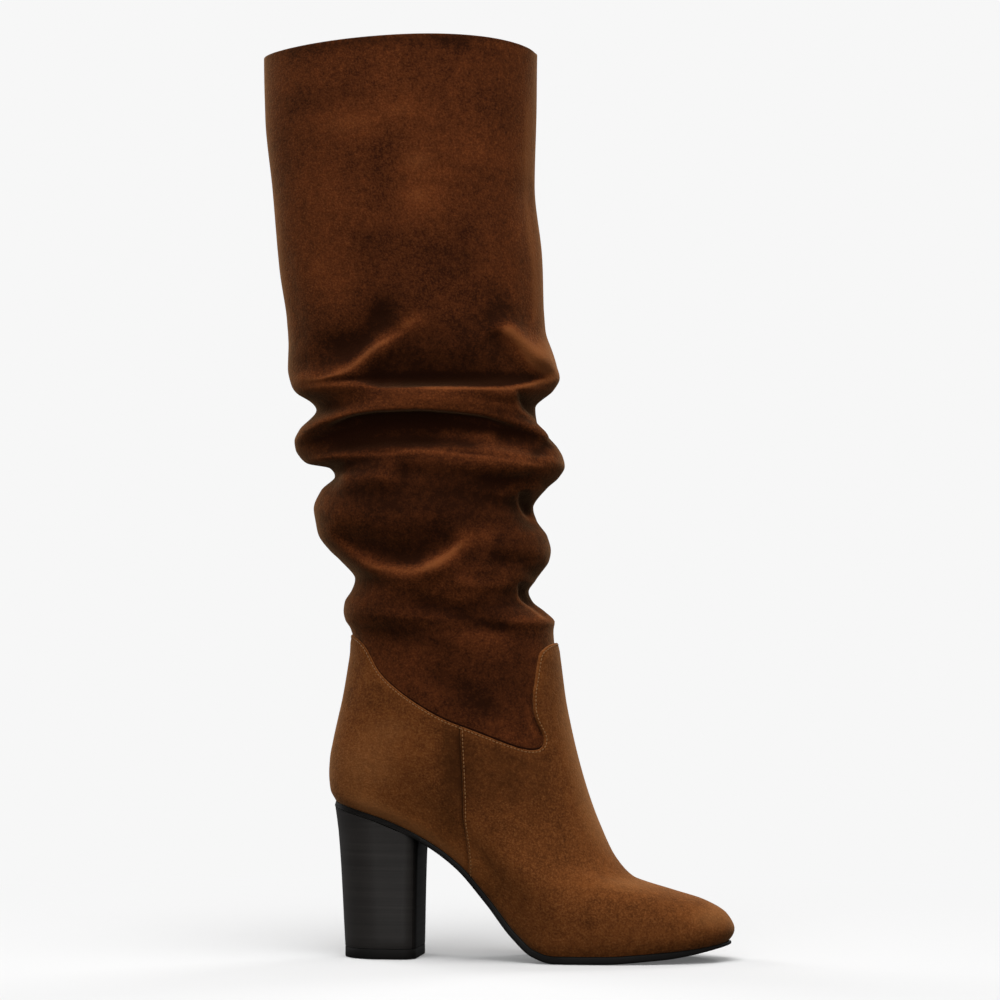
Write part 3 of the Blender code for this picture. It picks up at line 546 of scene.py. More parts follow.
class BootSizes(bpy.types.PropertyGroup):
    """Sizes of the boot's finish."""

    leg_step: length("Leg row step", "Distance between the leg's rows of mesh points", 0.0028)
    slouch_step: length("Slouch row step", "Distance between the rows through the slouch", 0.0010)
    leg_column: length("Leg column step", "Distance between the leg's mesh points round a ring", 0.00145)
    foot_step: length("Foot mesh step", "Distance between the foot's mesh points", 0.0022)
    facing: length("Facing", "Depth of the suede facing inside the collar", 0.022)
    edge_round: length("Edge round", "Rounding of the foot's cut top edge", 0.0009)
    skive: length("Skive", "How far the foot's top edge is thinned", 0.0006)
    stitch_pitch: length("Stitch pitch", "Distance from stitch to stitch", 0.0021)
    stitch_length: length("Stitch length", "Length of a stitch", 0.0016)
    stitch_width: length("Stitch width", "Thickness of the thread", 0.0007)
    stitch_inset: length("Stitch inset", "Distance of the stitches from the edge", 0.0011)
    heel_edge: length("Heel edge", "Rounding of the heel's lower edges", 0.0007)
    nap_patch: length("Nap patch", "Size of the brushed patches of nap", 0.030)
    nap_fleck: length("Nap fleck", "Size of the lighter flecks of nap", 0.0038)
    nap_grain: length("Nap grain", "Size of the tufts of nap", 0.0011)
    stack_layer: length("Stack layer", "Thickness of a layer in the heel's stack", 0.0016)


class BootColours(bpy.types.PropertyGroup):
    """Colours of the boot's finish."""

    foot_light: colour("Foot light", "Raised nap of the foot", "804a24")
    foot_dark: colour("Foot dark", "Flattened nap of the foot", "472712")
    # Painted shade of the foot's nap, in its groove and along the sole.
    foot_deep: colour("Foot deep", "Nap of the foot along its edges", "2b170a")
    foot_tip: colour("Foot tip", "Tips of the foot's nap", "9a6c42")
    leg_light: colour("Leg light", "Raised nap of the leg", "6e391c")
    leg_dark: colour("Leg dark", "Flattened nap of the leg", "31180d")
    # Painted shade of the leg's nap, in its hollows and beside the seam.
    leg_deep: colour("Leg deep", "Nap in the hollows of the leg", "1c0d06")
    leg_tip: colour("Leg tip", "Tips of the leg's nap", "84502c")
    nap_sheen: colour("Nap sheen", "Glow of the nap seen aslant", "ffc895")
    thread: colour("Thread", "Stitches round the foot", "9c6c3c")
    lining: colour("Lining", "Lining and sock leather", "9c7b59")
    sole: colour("Sole", "Sole and its edge", "151312")
    heel: colour("Heel", "Painted stack of the heel", "2a2725")
    # Painted shade for the heel's breast, which faces away from the light.
    breast: colour("Heel breast shade", "Ink on the heel's breast", "141312")
    top_piece: colour("Top piece", "Rubber under the heel", "181716")
    floor: colour("Floor", "Studio floor and background", "f7f7f7")
    floor_shade: colour("Floor shade", "Studio floor where shadows fall", "dfdfdf")


class BootStage(bpy.types.PropertyGroup):
    """Sizes of the stage."""

    distance: length("Camera distance", "Distance of the camera from the boot", 2.8)
    height: length("Camera height", "Height of the camera", 0.256)
    turn: FloatProperty(
        name="Camera turn", description="Turn of the camera towards the toe",
        default=math.radians(8.0), subtype="ANGLE", unit="ROTATION",
    )
    lens: FloatProperty(name="Lens", description="Focal length of the camera", default=180.0, unit="CAMERA")
    floor_radius: length("Floor radius", "Radius of the studio floor", 12.0)


# Curves and rings

def slopes(xs, ys):
    """Tangents of a curve through points that never overshoots a crest or hollow."""
    steps = np.diff(xs)
    grades = np.diff(ys) / steps
    tangents = np.empty(len(xs))
    tangents[0] = grades[0]
    tangents[-1] = grades[-1]
    for i in range(1, len(xs) - 1):
        before, after = grades[i - 1], grades[i]
        if before * after <= 0.0:
            tangents[i] = 0.0
        else:
            near = 2.0 * steps[i] + steps[i - 1]
            far = steps[i] + 2.0 * steps[i - 1]
            tangents[i] = (near + far) / (near / before + far / after)
    return tangents


def curve(xs, ys, x):
    """Heights at x of the smooth curve through (xs, ys)."""
    xs = np.asarray(xs, dtype=float)
    ys = np.asarray(ys, dtype=float)
    tangents = slopes(xs, ys)
    x = np.clip(x, xs[0], xs[-1])
    i = np.clip(np.searchsorted(xs, x, side="right") - 1, 0, len(xs) - 2)
    width = xs[i + 1] - xs[i]
    q = (x - xs[i]) / width
    start = (1.0 + 2.0 * q) * (1.0 - q) ** 2 * ys[i] + q * (1.0 - q) ** 2 * width * tangents[i]
    end = q * q * (3.0 - 2.0 * q) * ys[i + 1] + q * q * (q - 1.0) * width * tangents[i + 1]
    return start + end


def smoothstep(low, high, x):
    """0 up to low, 1 from high on, and a smooth rise between them."""
    q = np.clip((x - low) / (high - low), 0.0, 1.0)
    return q * q * (3.0 - 2.0 * q)


def travelled(points):
    """Distance run along a line of points, from its first."""
    hops = np.linalg.norm(np.diff(points, axis=0), axis=-1)
    return np.concatenate([[0.0], np.cumsum(hops)])


def slouch(z):
    """How slack the leg is at height z, 1 through the slouch."""
    return smoothstep(SLOUCH[0], SLOUCH[1], z) * (1.0 - smoothstep(SLOUCH[2], SLOUCH[3], z))


def sole_z(x):
    """Height of the feather edge at x."""
    return curve([p.x for p in SOLE_LINE], [p.z for p in SOLE_LINE], x)


def sole_thick(x):
    """Thickness of the sole at x, square to it."""
    return curve([p.x for p in SOLE_LINE], [p.thick for p in SOLE_LINE], x)


def ring_columns():
    """The ring tables of foot and leg as one set of named columns, sole to collar."""
    names = FootRing._fields[1:] + ("lat_lift", "med_lift")
    columns = {name: [] for name in names}
    for row in FOOT_RINGS:
        for name in FootRing._fields[1:]:
            columns[name].append(getattr(row, name))
        columns["lat_lift"].append(0.0)
        columns["med_lift"].append(0.0)
    for row in LEG_RINGS:
        middle = 0.5 * (row.back_z + row.front_z)
        for name in ("back_x", "back_z", "front_x", "front_z"):
            columns[name].append(getattr(row, name))
        for place in ("rear", "mid", "fore"):
            columns["lat_" + place].append(row.lat_w)
            columns["med_" + place].append(row.med_w)
        columns["hug"].append(0.0)
        for name in ("rear_round", "fore_round", "seam"):
            columns[name].append(0.5)
        columns["lat_lift"].append(row.lat_z - middle)
        columns["med_lift"].append(row.med_z - middle)
    return columns


RING_COLUMNS = ring_columns()
ANKLE_T = len(FOOT_RINGS) - 1.0
COLLAR_T = ANKLE_T + len(LEG_RINGS)


def ring_value(name, t):
    """A column of the ring tables at ring places t."""
    values = RING_COLUMNS[name]
    return curve(np.arange(len(values)), values, t)


def ring_share(t, u):
    """Share of a ring's length at column u, 0 at the back and 1 at the front."""
    seam = ring_value("seam", t)
    back = seam * (1.0 - np.cos(0.5 * math.pi * np.clip(u / SEAM_PLACE, 0.0, 1.0)))
    ahead = np.clip((u - SEAM_PLACE) / (1.0 - SEAM_PLACE), 0.0, 1.0)
    even = np.sin(0.5 * math.pi * ahead)
    feather = FOOT_RINGS[0]
    start = feather.back_x + feather.seam * (feather.front_x - feather.back_x)
    stops = [(x - start) / (feather.front_x - start) for x in (start,) + FEATHER_STOPS]
    close = curve(np.linspace(0.0, 1.0, len(stops)), stops, ahead)
    hold = 1.0 - smoothstep(0.0, FEATHER_HOLD, t)
    return back + (1.0 - seam) * (even + hold * (close - even))


def ring_half_width(t, s, side):
    """Half width at share s of a ring on one side, lat or med."""
    rear, mid, fore = (ring_value(side + place, t) for place in ("_rear", "_mid", "_fore"))
    to_mid = smoothstep(STATIONS[0], STATIONS[1], s)
    to_fore = smoothstep(STATIONS[1], STATIONS[2], s)
    width = rear + (mid - rear) * to_mid + (fore - mid) * to_fore
    rear_round = ring_value("rear_round", t)
    fore_round = ring_value("fore_round", t)
    into_heel = np.clip((rear_round - s) / rear_round, 0.0, 1.0)
    into_toe = np.clip((s - fore_round) / (1.0 - fore_round), 0.0, 1.0)
    end = np.maximum(into_heel, into_toe)
    return width * (1.0 - end ** FULLNESS) ** (1.0 / FULLNESS)


def form(t, a):
    """Points of the boot's outer form at ring places t and round places a."""
    t, a = np.broadcast_arrays(np.clip(t, 0.0, COLLAR_T), np.mod(a, 2.0))
    outer = a <= 1.0
    u = np.where(outer, a, 2.0 - a)
    s = ring_share(t, u)
    back_x, front_x = ring_value("back_x", t), ring_value("front_x", t)
    back_z, front_z = ring_value("back_z", t), ring_value("front_z", t)
    x = back_x + (front_x - back_x) * s
    half = np.where(outer, -ring_half_width(t, s, "lat"), ring_half_width(t, s, "med"))
    feather = FOOT_RINGS[0]
    feather_x = feather.back_x + (feather.front_x - feather.back_x) * s
    feather_chord = feather.back_z + (feather.front_z - feather.back_z) * s
    lift = np.where(outer, ring_value("lat_lift", t), ring_value("med_lift", t))
    rim = smoothstep(COLLAR_T - RIM_RINGS, COLLAR_T, t)
    leg_bow = BOW_BACK + (BOW_FRONT - BOW_BACK) * s
    skewed = s ** (1.0 + (RIM_SKEW - 1.0) * rim)
    bow = (1.0 - (2.0 * skewed - 1.0) ** 2) ** (leg_bow + (RIM_BOW - leg_bow) * rim)
    z = back_z + (front_z - back_z) * s + lift * bow
    z = z + ring_value("hug", t) * (sole_z(feather_x) - feather_chord)
    return np.stack([x, half, z], axis=-1)


def unit(vectors):
    """The vectors at length 1."""
    return vectors / np.linalg.norm(vectors, axis=-1, keepdims=True)


def form_normals(t, a):
    """Unit normals of the form, pointing out."""
    t = np.clip(t, NUDGE, COLLAR_T - NUDGE)
    along = form(t, a + NUDGE) - form(t, a - NUDGE)
    up = form(t + NUDGE, a) - form(t - NUDGE, a)
    return unit(np.cross(along, up))


def grid_normals(points):
    """Unit normals of a grid of rings, pointing out."""
    along = np.roll(points, -1, axis=1) - np.roll(points, 1, axis=1)
    up = np.gradient(points, axis=0)
    return unit(np.cross(along, up))


def even_rows(low, high, step, slack_step=None):
    """Ring places from low to high, about step apart, or slack_step through the slouch."""
    t = np.linspace(low, high, ROW_SAMPLES * int(high - low))
    path = form(t[:, None], np.linspace(0.0, 2.0, ROW_PATHS, endpoint=False)[None, :])
    hops = np.linalg.norm(np.diff(path, axis=0), axis=-1).mean(axis=1)
    slack = slouch(0.5 * (path[1:, :, 2] + path[:-1, :, 2]).mean(axis=1))
    density = (1.0 - slack) / step + slack / (slack_step or step)
    rows = np.concatenate([[0.0], np.cumsum(hops * density)])
    return np.interp(np.linspace(0.0, rows[-1], int(round(rows[-1])) + 1), rows, t)


def even_columns(ring, step):
    """Places once round a ring, about step apart, from the back and round to it again."""
    a = np.linspace(0.0, 2.0, COLUMN_SAMPLES)
    travel = travelled(form(ring, a))
    count = int(round(travel[-1] / step))
    return np.interp(np.linspace(0.0, travel[-1], count + 1), travel, a)


def fold_rise(points, side, folds, ends):
    """How far the folds lift or sink each point; they fade over a share of both ends."""
    rise = np.zeros(points.shape[:-1])
    x, z = points[..., 0], points[..., 2]
    for fold in folds:
        places = np.array(fold.places, dtype=float)
        travel = travelled(places)
        q = np.linspace(0.0, 1.0, FOLD_SAMPLES)
        line_x = curve(travel / travel[-1], places[:, 0], q)
        line_z = curve(travel / travel[-1], places[:, 1], q)
        strength = smoothstep(0.0, ends, q) * smoothstep(0.0, ends, 1.0 - q)
        reach = FOLD_REACH * fold.width
        close = (x > line_x.min() - reach) & (x < line_x.max() + reach)
        close &= (z > line_z.min() - reach) & (z < line_z.max() + reach)
        close &= (side == fold.side) | (fold.side == BOTH)
        ahead, above = x[close][:, None] - line_x, z[close][:, None] - line_z
        away = np.hypot(ahead, above)
        at = away.argmin(axis=1)
        rows = np.arange(len(at))
        left = np.gradient(line_x)[at] * above[rows, at] > np.gradient(line_z)[at] * ahead[rows, at]
        width = np.where(left, fold.snap or fold.width, fold.width)
        rise[close] += fold.rise * strength[at] * np.exp(-((away[rows, at] / width) ** 2))
    return rise


def patch_shade(points, patches):
    """Tone of the listed patches at each point."""
    shade = np.zeros(points.shape[:-1])
    for patch in patches:
        along = (points[..., 0] - patch.x) / patch.half_x
        up = (points[..., 2] - patch.z) / patch.half_z
        shade += patch.shade * np.exp(-(along ** 2 + up ** 2))
    return shade


def ripple(points, kind):
    """Height of the leather's smooth unevenness at each point."""
    flat = points.reshape(-1, 3) / np.array(kind.wave) + kind.seed
    return kind.rise * np.array([noise.noise(Vector(p)) for p in flat]).reshape(points.shape[:-1])


# Making pieces

def piece(name, points, faces, materials, stands_for, rows=None, tone=None, sharp=None):
    """An object from millimetre points that rides on the boot, with its materials."""
    mesh = bpy.data.meshes.new(name)
    mesh.from_pydata((np.asarray(points) * MM).tolist(), [], faces)
    if rows is not None:
        mesh.polygons.foreach_set("material_index", rows)
    mesh.polygons.foreach_set("use_smooth", [True] * len(mesh.polygons))
    if tone is not None:
        layer = mesh.attributes.new("tone", "FLOAT", "POINT")
        layer.data.foreach_set("value", np.asarray(tone, dtype=np.float32))
    if sharp is not None:
        mesh.set_sharp_from_angle(angle=sharp)
    mesh.validate()
    mesh.update()
    for material in materials:
        mesh.materials.append(material)
    made = bpy.data.objects.new(name, mesh)
    bpy.context.scene.collection.objects.link(made)
    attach(made, "root")
    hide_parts(*stands_for)
    return made


def add(tree, kind, inputs=None, **settings):
    """A node with its settings; inputs fill its sockets or link them to others.

    A node given as an input stands for the first of its outputs that is in use.
    """
    node = tree.nodes.new(kind)
    for name, value in settings.items():
        setattr(node, name, value)
    for name, value in (inputs or {}).items():
        socket = node.inputs[name]
        if isinstance(value, bpy.types.Node):
            value = next(output for output in value.outputs if output.enabled)
        if isinstance(value, bpy.types.NodeSocket):
            tree.links.new(value, socket)
        elif socket.type == "RGBA":
            socket.default_value = (*value, 1.0)
        else:
            socket.default_value = value
    return node


def blank_material(name):
    """A new material, its empty node tree and the coordinates of the object it is on."""
    material = bpy.data.materials.new(name)
    material.use_nodes = True
    tree = material.node_tree
    tree.nodes.clear()
    return material, tree, add(tree, "ShaderNodeTexCoord").outputs["Object"]


def suede(name, part, sizes, colours):
    """Split cow suede, brushed: a dull deep nap with lighter brushed patches and flecks.

    The tufts of real nap are about 0.2 mm; they are drawn about a millimetre across so
    that they show, and their tips catch the light. The piece's own tone attribute carries
    painted light and shade: it lightens ridges, partly rubbed nap and partly painted
    highlight, deepens the colour in hollows as painted shade and calms the tufts there.
    """
    deep, dark, light, tip = (getattr(colours, part + kind) for kind in ("_deep", "_dark", "_light", "_tip"))
    material, tree, place = blank_material(name)
    patch, fleck, grain = (
        add(tree, "ShaderNodeTexNoise", {
            "Vector": place, "Scale": 1.0 / size, "Detail": detail, "Roughness": 0.6,
            "Distortion": distortion,
        })
        for size, detail, distortion in (
            (sizes.nap_patch, 4.0, 0.8), (sizes.nap_fleck, 3.0, 0.3), (sizes.nap_grain, 2.0, 0.0),
        )
    )
    tone = add(tree, "ShaderNodeAttribute", attribute_name="tone").outputs["Fac"]
    lively = add(tree, "ShaderNodeMapRange", {
        "Value": tone, "From Min": -0.42, "From Max": -0.10, "To Min": 0.6, "To Max": 1.5,
    })
    # Patches, flecks and tufts each swing the tone to both sides.
    total = tone
    for layer, weight in ((patch, 0.95), (fleck, 1.0), (grain, lively)):
        level = add(tree, "ShaderNodeMath", {0: layer, 1: 0.5}, operation="SUBTRACT")
        total = add(tree, "ShaderNodeMath", {0: level, 1: weight, 2: total}, operation="MULTIPLY_ADD")
    share = add(tree, "ShaderNodeMapRange", {"Value": total, "From Min": -0.55, "From Max": 0.65})
    tint = add(tree, "ShaderNodeMix", {0: share, 6: dark, 7: light}, data_type="RGBA")
    # Pale tips show on raised tufts of light nap, and where the tone is high: rubbed nap and
    # painted highlight on ridges that catch the light.
    raised = add(tree, "ShaderNodeMapRange", {
        "Value": grain, "From Min": 0.50, "From Max": 0.80, "To Max": 0.3,
    })
    rub_and_highlight = add(tree, "ShaderNodeMapRange", {
        "Value": tone, "From Min": 0.2, "From Max": 0.9, "To Max": 0.55,
    })
    lit = add(tree, "ShaderNodeMath", {0: raised, 1: share}, operation="MULTIPLY")
    tuft = add(tree, "ShaderNodeMath", {0: lit, 1: rub_and_highlight}, operation="ADD", use_clamp=True)
    tipped = add(tree, "ShaderNodeMix", {0: tuft, 6: tint, 7: tip}, data_type="RGBA")
    # Painted shade: where the tone is low, in hollows, grooves and beside seams, and on flattened nap, the
    # colour goes to the deep one.
    flat_nap_and_shade = add(tree, "ShaderNodeMapRange", {
        "Value": tone, "From Min": -0.1, "From Max": -1.1, "To Max": 0.85,
    })
    nap = add(tree, "ShaderNodeMix", {0: flat_nap_and_shade, 6: tipped, 7: deep}, data_type="RGBA")
    tufts = add(tree, "ShaderNodeBump", {"Strength": 0.6, "Distance": 0.0005, "Height": grain})
    flecks = add(tree, "ShaderNodeBump", {
        "Strength": 0.35, "Distance": 0.0008, "Height": fleck, "Normal": tufts,
    })
    shader = add(tree, "ShaderNodeBsdfPrincipled", {
        "Base Color": nap, "Roughness": 0.95, "Specular IOR Level": 0.0, "Sheen Weight": 0.3,
        "Sheen Roughness": 0.4, "Sheen Tint": colours.nap_sheen, "Normal": flecks,
    })
    add(tree, "ShaderNodeOutputMaterial", {"Surface": shader})
    return material


def lining_leather(name, tint):
    """Pigskin lining leather, smooth and dry: fine pores and a slight cloudiness."""
    material, tree, place = blank_material(name)
    cloud = add(tree, "ShaderNodeTexNoise", {
        "Vector": place, "Scale": 1.0 / (LINING_CLOUD * MM), "Detail": 3.0,
    })
    pores = add(tree, "ShaderNodeTexVoronoi", {"Vector": place, "Scale": 1.0 / (LINING_PORE * MM)})
    worn = [0.78 * c for c in tint]
    mixed = add(tree, "ShaderNodeMix", {0: cloud, 6: worn, 7: tint}, data_type="RGBA")
    bump = add(tree, "ShaderNodeBump", {"Strength": 0.25, "Distance": 0.0003, "Height": pores})
    shader = add(tree, "ShaderNodeBsdfPrincipled", {
        "Base Color": mixed, "Roughness": 0.6, "Specular IOR Level": 0.35, "Normal": bump,
    })
    add(tree, "ShaderNodeOutputMaterial", {"Surface": shader})
    return material


def painted_stack(name, tint, breast_shade, sizes, gloss):
    """Stacked heel board, painted and waxed: thin level layers show through a satin coat."""
    material, tree, place = blank_material(name)
    along_layer = 1.0 / (LAYER_RUN * MM)
    flat = add(tree, "ShaderNodeMapping", {
        "Vector": place, "Scale": (along_layer, along_layer, 1.0 / sizes.stack_layer),
    })
    layers = add(tree, "ShaderNodeTexNoise", {"Vector": flat, "Scale": 1.0, "Detail": 3.0, "Roughness": 0.7})
    cloud = add(tree, "ShaderNodeTexNoise", {
        "Vector": place, "Scale": 1.0 / (STACK_CLOUD * MM), "Detail": 3.0,
    })
    both = add(tree, "ShaderNodeMath", {0: cloud, 1: 0.4, 2: layers}, operation="MULTIPLY_ADD")
    share = add(tree, "ShaderNodeMapRange", {"Value": both, "From Min": 0.45, "From Max": 0.95})
    lighter = [1.4 * c for c in tint]
    darker = [0.75 * c for c in tint]
    mixed = add(tree, "ShaderNodeMix", {0: share, 6: darker, 7: lighter}, data_type="RGBA")
    rough = add(tree, "ShaderNodeMapRange", {"Value": layers, "To Min": 0.34, "To Max": 0.5})
    bump = add(tree, "ShaderNodeBump", {"Strength": 0.12, "Distance": 0.0003, "Height": layers})
    # Painted shade: towards the breast the colour goes to the breast's dark shade, since the breast faces
    # away from the light.
    along = add(tree, "ShaderNodeSeparateXYZ", {0: place}).outputs["X"]
    front = add(tree, "ShaderNodeMapRange", {
        "Value": along, "From Min": BREAST_SHADE[0] * MM, "From Max": BREAST_SHADE[1] * MM, "To Max": 0.9,
    }, interpolation_type="SMOOTHSTEP")
    breast_shaded = add(tree, "ShaderNodeMix", {0: front, 6: mixed, 7: breast_shade}, data_type="RGBA")
    shader = add(tree, "ShaderNodeBsdfPrincipled", {
        "Base Color": breast_shaded, "Roughness": rough, "Specular IOR Level": gloss, "Normal": bump,
    })
    add(tree, "ShaderNodeOutputMaterial", {"Surface": shader})
    return material


def moulded_rubber(name, tint, grit, roughness, gloss):
    """Moulded rubber, matt black: a fine even grit from the mould, with duller scuffs."""
    material, tree, place = blank_material(name)
    grains = add(tree, "ShaderNodeTexNoise", {"Vector": place, "Scale": 1.0 / (grit * MM), "Detail": 2.0})
    scuff = add(tree, "ShaderNodeTexNoise", {
        "Vector": place, "Scale": 1.0 / (RUBBER_SCUFF * MM), "Detail": 4.0, "Roughness": 0.65,
    })
    grey = [1.4 * c for c in tint]
    mixed = add(tree, "ShaderNodeMix", {0: scuff, 6: tint, 7: grey}, data_type="RGBA")
    rough = add(tree, "ShaderNodeMapRange", {
        "Value": scuff, "To Min": roughness - 0.08, "To Max": roughness + 0.12,
    })
    bump = add(tree, "ShaderNodeBump", {"Strength": 0.2, "Distance": 0.0003, "Height": grains})
    shader = add(tree, "ShaderNodeBsdfPrincipled", {
        "Base Color": mixed, "Roughness": rough, "Specular IOR Level": gloss, "Normal": bump,
    })
    add(tree, "ShaderNodeOutputMaterial", {"Surface": shader})
    return material


def sewing_thread(name, tint):
    """Bonded polyester thread, twisted: a low gloss and a shade that varies by the stitch."""
    material, tree, place = blank_material(name)
    vary = add(tree, "ShaderNodeTexNoise", {
        "Vector": place, "Scale": 1.0 / (THREAD_SHADE * MM), "Detail": 2.0,
    })
    shaded = [0.55 * c for c in tint]
    mixed = add(tree, "ShaderNodeMix", {0: vary, 6: shaded, 7: tint}, data_type="RGBA")
    shader = add(tree, "ShaderNodeBsdfPrincipled", {
        "Base Color": mixed, "Roughness": 0.6, "Specular IOR Level": 0.3,
    })
    add(tree, "ShaderNodeOutputMaterial", {"Surface": shader})
    return material


# Leg

def closed_tube(rows):
    """Faces of a tube whose rows of points run up its outside, over and down its inside."""
    count, columns = len(rows), len(rows[0])
    faces = []
    for i in range(count):
        low, high = i * columns, (i + 1) % count * columns
        for j in range(columns):
            k = (j + 1) % columns
            faces.append((low + j, low + k, high + k, high + j))
    return faces


def blurred(grid, rows, columns):
    """A grid of rings smoothed over a reach of rows and, round the ring, of columns."""
    for axis, reach in ((0, rows), (1, columns)):
        weights = np.exp(-0.5 * (np.arange(-2 * reach, 2 * reach + 1) / reach) ** 2)
        pad = [(0, 0)] * grid.ndim
        pad[axis] = (2 * reach, 2 * reach)
        wide = np.pad(grid, pad, mode="wrap" if axis else "edge")
        count = grid.shape[axis]
        shares = weights / weights.sum()
        grid = sum(w * np.take(wide, range(i, i + count), axis=axis) for i, w in enumerate(shares))
    return grid


def leg_surface(t, a):
    """The leg's outer and lining points, soft normals and tone on a grid of rings."""
    t, a = np.broadcast_arrays(t[:, None], a[None, :])
    points = form(t, a)
    side = np.where(np.mod(a, 2.0) <= 1.0, OUTER, INNER)
    slack = slouch(points[..., 2])
    rise = fold_rise(points, side, FOLDS, FOLD_FADE) + fold_rise(points, side, CREASES, CREASE_FADE)
    rise = rise * smoothstep(0.0, EDGE_FADE, np.abs(points[..., 1]))
    rise = rise + ripple(points, SLOUCH_RIPPLE) * slack
    rise = rise + ripple(points, LEG_RIPPLE)
    lifted = points + rise[..., None] * unit(blurred(form_normals(t, a), FOLD_ROWS, FOLD_COLUMNS))
    normals = grid_normals(lifted)
    near, wide = blurred(lifted, *LINE_REACH), blurred(lifted, *HOLLOW_REACH)
    # Painted highlight on the leg's own ridges and painted shade in its hollows, from how far each point
    # stands out of the smoothed leg.
    line = ((lifted - near) * normals).sum(axis=-1)
    hollow = ((lifted - wide) * normals).sum(axis=-1)
    tone = np.clip(LINE_TONE * line + HOLLOW_TONE * hollow, -TONE_LIMIT, TONE_LIMIT)
    # Painted highlight and shade along the listed lines, then the patches and the darker colour of the slouch
    # and of the whole leg.
    tone = tone + fold_rise(points, side, RUBS_AND_PAINTED_LIGHT, CREASE_FADE)
    tone = tone + patch_shade(points, LEG_PATCHES) - LEG_SHADE - SLOUCH_SHADE * slack
    soft = grid_normals(near)
    tuck = ((UPPER_WALL + GAP) * (1.0 - smoothstep(LAP_LEAVES, LAP_GONE, t)))[..., None]
    lining = near - (tuck + SHAFT_WALL + LINING_SLACK * slack[..., None]) * soft
    return lifted - tuck * soft, lining, soft, tone


class BOOT_OT_leg(bpy.types.Operator):
    """Build the slouched leg with its folds, turned collar and lining"""

    bl_idname = "boot.leg"
    bl_label = "Leg"

    def execute(self, context):
        sizes, colours = context.scene.boot_sizes, context.scene.boot_colours
        t = even_rows(LAP_RING, COLLAR_T, sizes.leg_step / MM, sizes.slouch_step / MM)
        a = even_columns(COLLAR_T - LEG_GIRTH_DROP, sizes.leg_column / MM)[:-1]
        points, lining_points, normals, tone = leg_surface(t, a)
        drop = points[-1:, :, 2].mean() - points[:, :, 2].mean(axis=1)
        half = 0.5 * SHAFT_WALL
        rows, tones, kinds = list(points[:-1]), list(tone[:-1]), [0] * (len(t) - 1)
        up = unit(points[-1] - points[-2])
        centre = points[-1] - half * normals[-1] - half * up
        for q in np.linspace(0.0, math.pi, RIM_ROWS):
            rows.append(centre + half * (math.cos(q) * normals[-1] + math.sin(q) * up))
            tones.append(np.full(len(a), RIM_TONE))
            kinds.append(0)
        for i in range(len(t) - 2, -1, -LINING_ROWS):
            rows.append(lining_points[i])
            tones.append(np.zeros(len(a)))
            kinds.append(0 if drop[i] < sizes.facing / MM else 1)
        kinds[-1] = 1
        leg_suede = suede("brushed leg suede", "leg", sizes, colours)
        lining = lining_leather("leg lining leather", colours.lining)
        faces = closed_tube(rows)
        spots = list(np.column_stack([np.concatenate(rows), np.concatenate(tones)]))
        beside = int(np.searchsorted(t, LAP_GONE)) * len(a)
        below = [-SEAM_CLEAR] * len(spots)
        below[:beside + len(a)] = below_seam(np.array(spots[:beside + len(a)])[:, :3])
        cut = faces[:beside]
        for level in (0.0, -SEAM_GAP[0], -SEAM_GAP[1]):
            under, over, _ = split(cut, spots, below, level)
            cut = under + over
        kinds = [0] * len(cut) + list(np.repeat(kinds, len(a))[beside:])
        spots = np.array(spots)
        # Painted shade in the gap beside the seam.
        spots[:, 3] -= SEAM_SHADE * smoothstep(-SEAM_GAP[1], -SEAM_GAP[0], np.array(below))
        piece(
            "leg", spots[:, :3], cut + faces[beside:], [leg_suede, lining],
            rows=kinds, tone=spots[:, 3], stands_for=("shaft",),
        )
        return {"FINISHED"}


# Foot

def seam_profile():
    """The foot's top edge from the side, as a smooth run through the seam points."""
    points = np.array(SEAM_LINE)
    travel = travelled(points)
    fine = np.concatenate([
        np.linspace(travel[i], travel[i + 1], SEAM_SAMPLES, endpoint=False) for i in range(len(points) - 1)
    ] + [travel[-1:]])
    return np.stack([curve(travel, points[:, 0], fine), curve(travel, points[:, 1], fine)], axis=-1)


def below_seam(points):
    """Distance below the foot's top edge seen from the side; above it the sign turns."""
    line = seam_profile()
    spot = points[:, None, [0, 2]]
    start, run = line[:-1], np.diff(line, axis=0)
    share = np.clip(((spot - start) * run).sum(-1) / (run * run).sum(-1), 0.0, 1.0)
    away = np.linalg.norm(spot - (start + share[..., None] * run), axis=-1).min(axis=1)
    loop = np.concatenate([line, [(line[-1, 0], SEAM_TOP), (line[0, 0], SEAM_TOP)]])
    ends = np.roll(loop, -1, axis=0)
    x, z = spot[..., 0], spot[..., 1]
    spans = (loop[:, 1] > z) != (ends[:, 1] > z)
    rise = np.where(ends[:, 1] == loop[:, 1], 1.0, ends[:, 1] - loop[:, 1])
    cross = loop[:, 0] + (z - loop[:, 1]) / rise * (ends[:, 0] - loop[:, 0])
    above = (spans & (x < cross)).sum(axis=1) % 2 == 1
    return np.where(above, -away, away)


def split(faces, places, values, level):
    """Cut faces along a level of their points' values: those under, those over, the cuts."""
    cuts, under, over, line = {}, [], [], []
    for face in faces:
        high = [values[v] >= level for v in face]
        if all(high) or not any(high):
            (over if high[0] else under).append(face)
            continue
        parts, ends = {False: [], True: []}, []
        for n, v in enumerate(face):
            w = face[(n + 1) % len(face)]
            parts[high[n]].append(v)
            if high[n] == high[(n + 1) % len(face)]:
                continue
            key = (min(v, w), max(v, w))
            if key not in cuts:
                q = (level - values[key[0]]) / (values[key[1]] - values[key[0]])
                places.append(places[key[0]] + q * (places[key[1]] - places[key[0]]))
                values.append(level)
                cuts[key] = len(places) - 1
            for part in parts.values():
                part.append(cuts[key])
            ends.append(cuts[key])
        under.append(parts[False])
        over.append(parts[True])
        line.append(ends[:2])
    return under, over, line


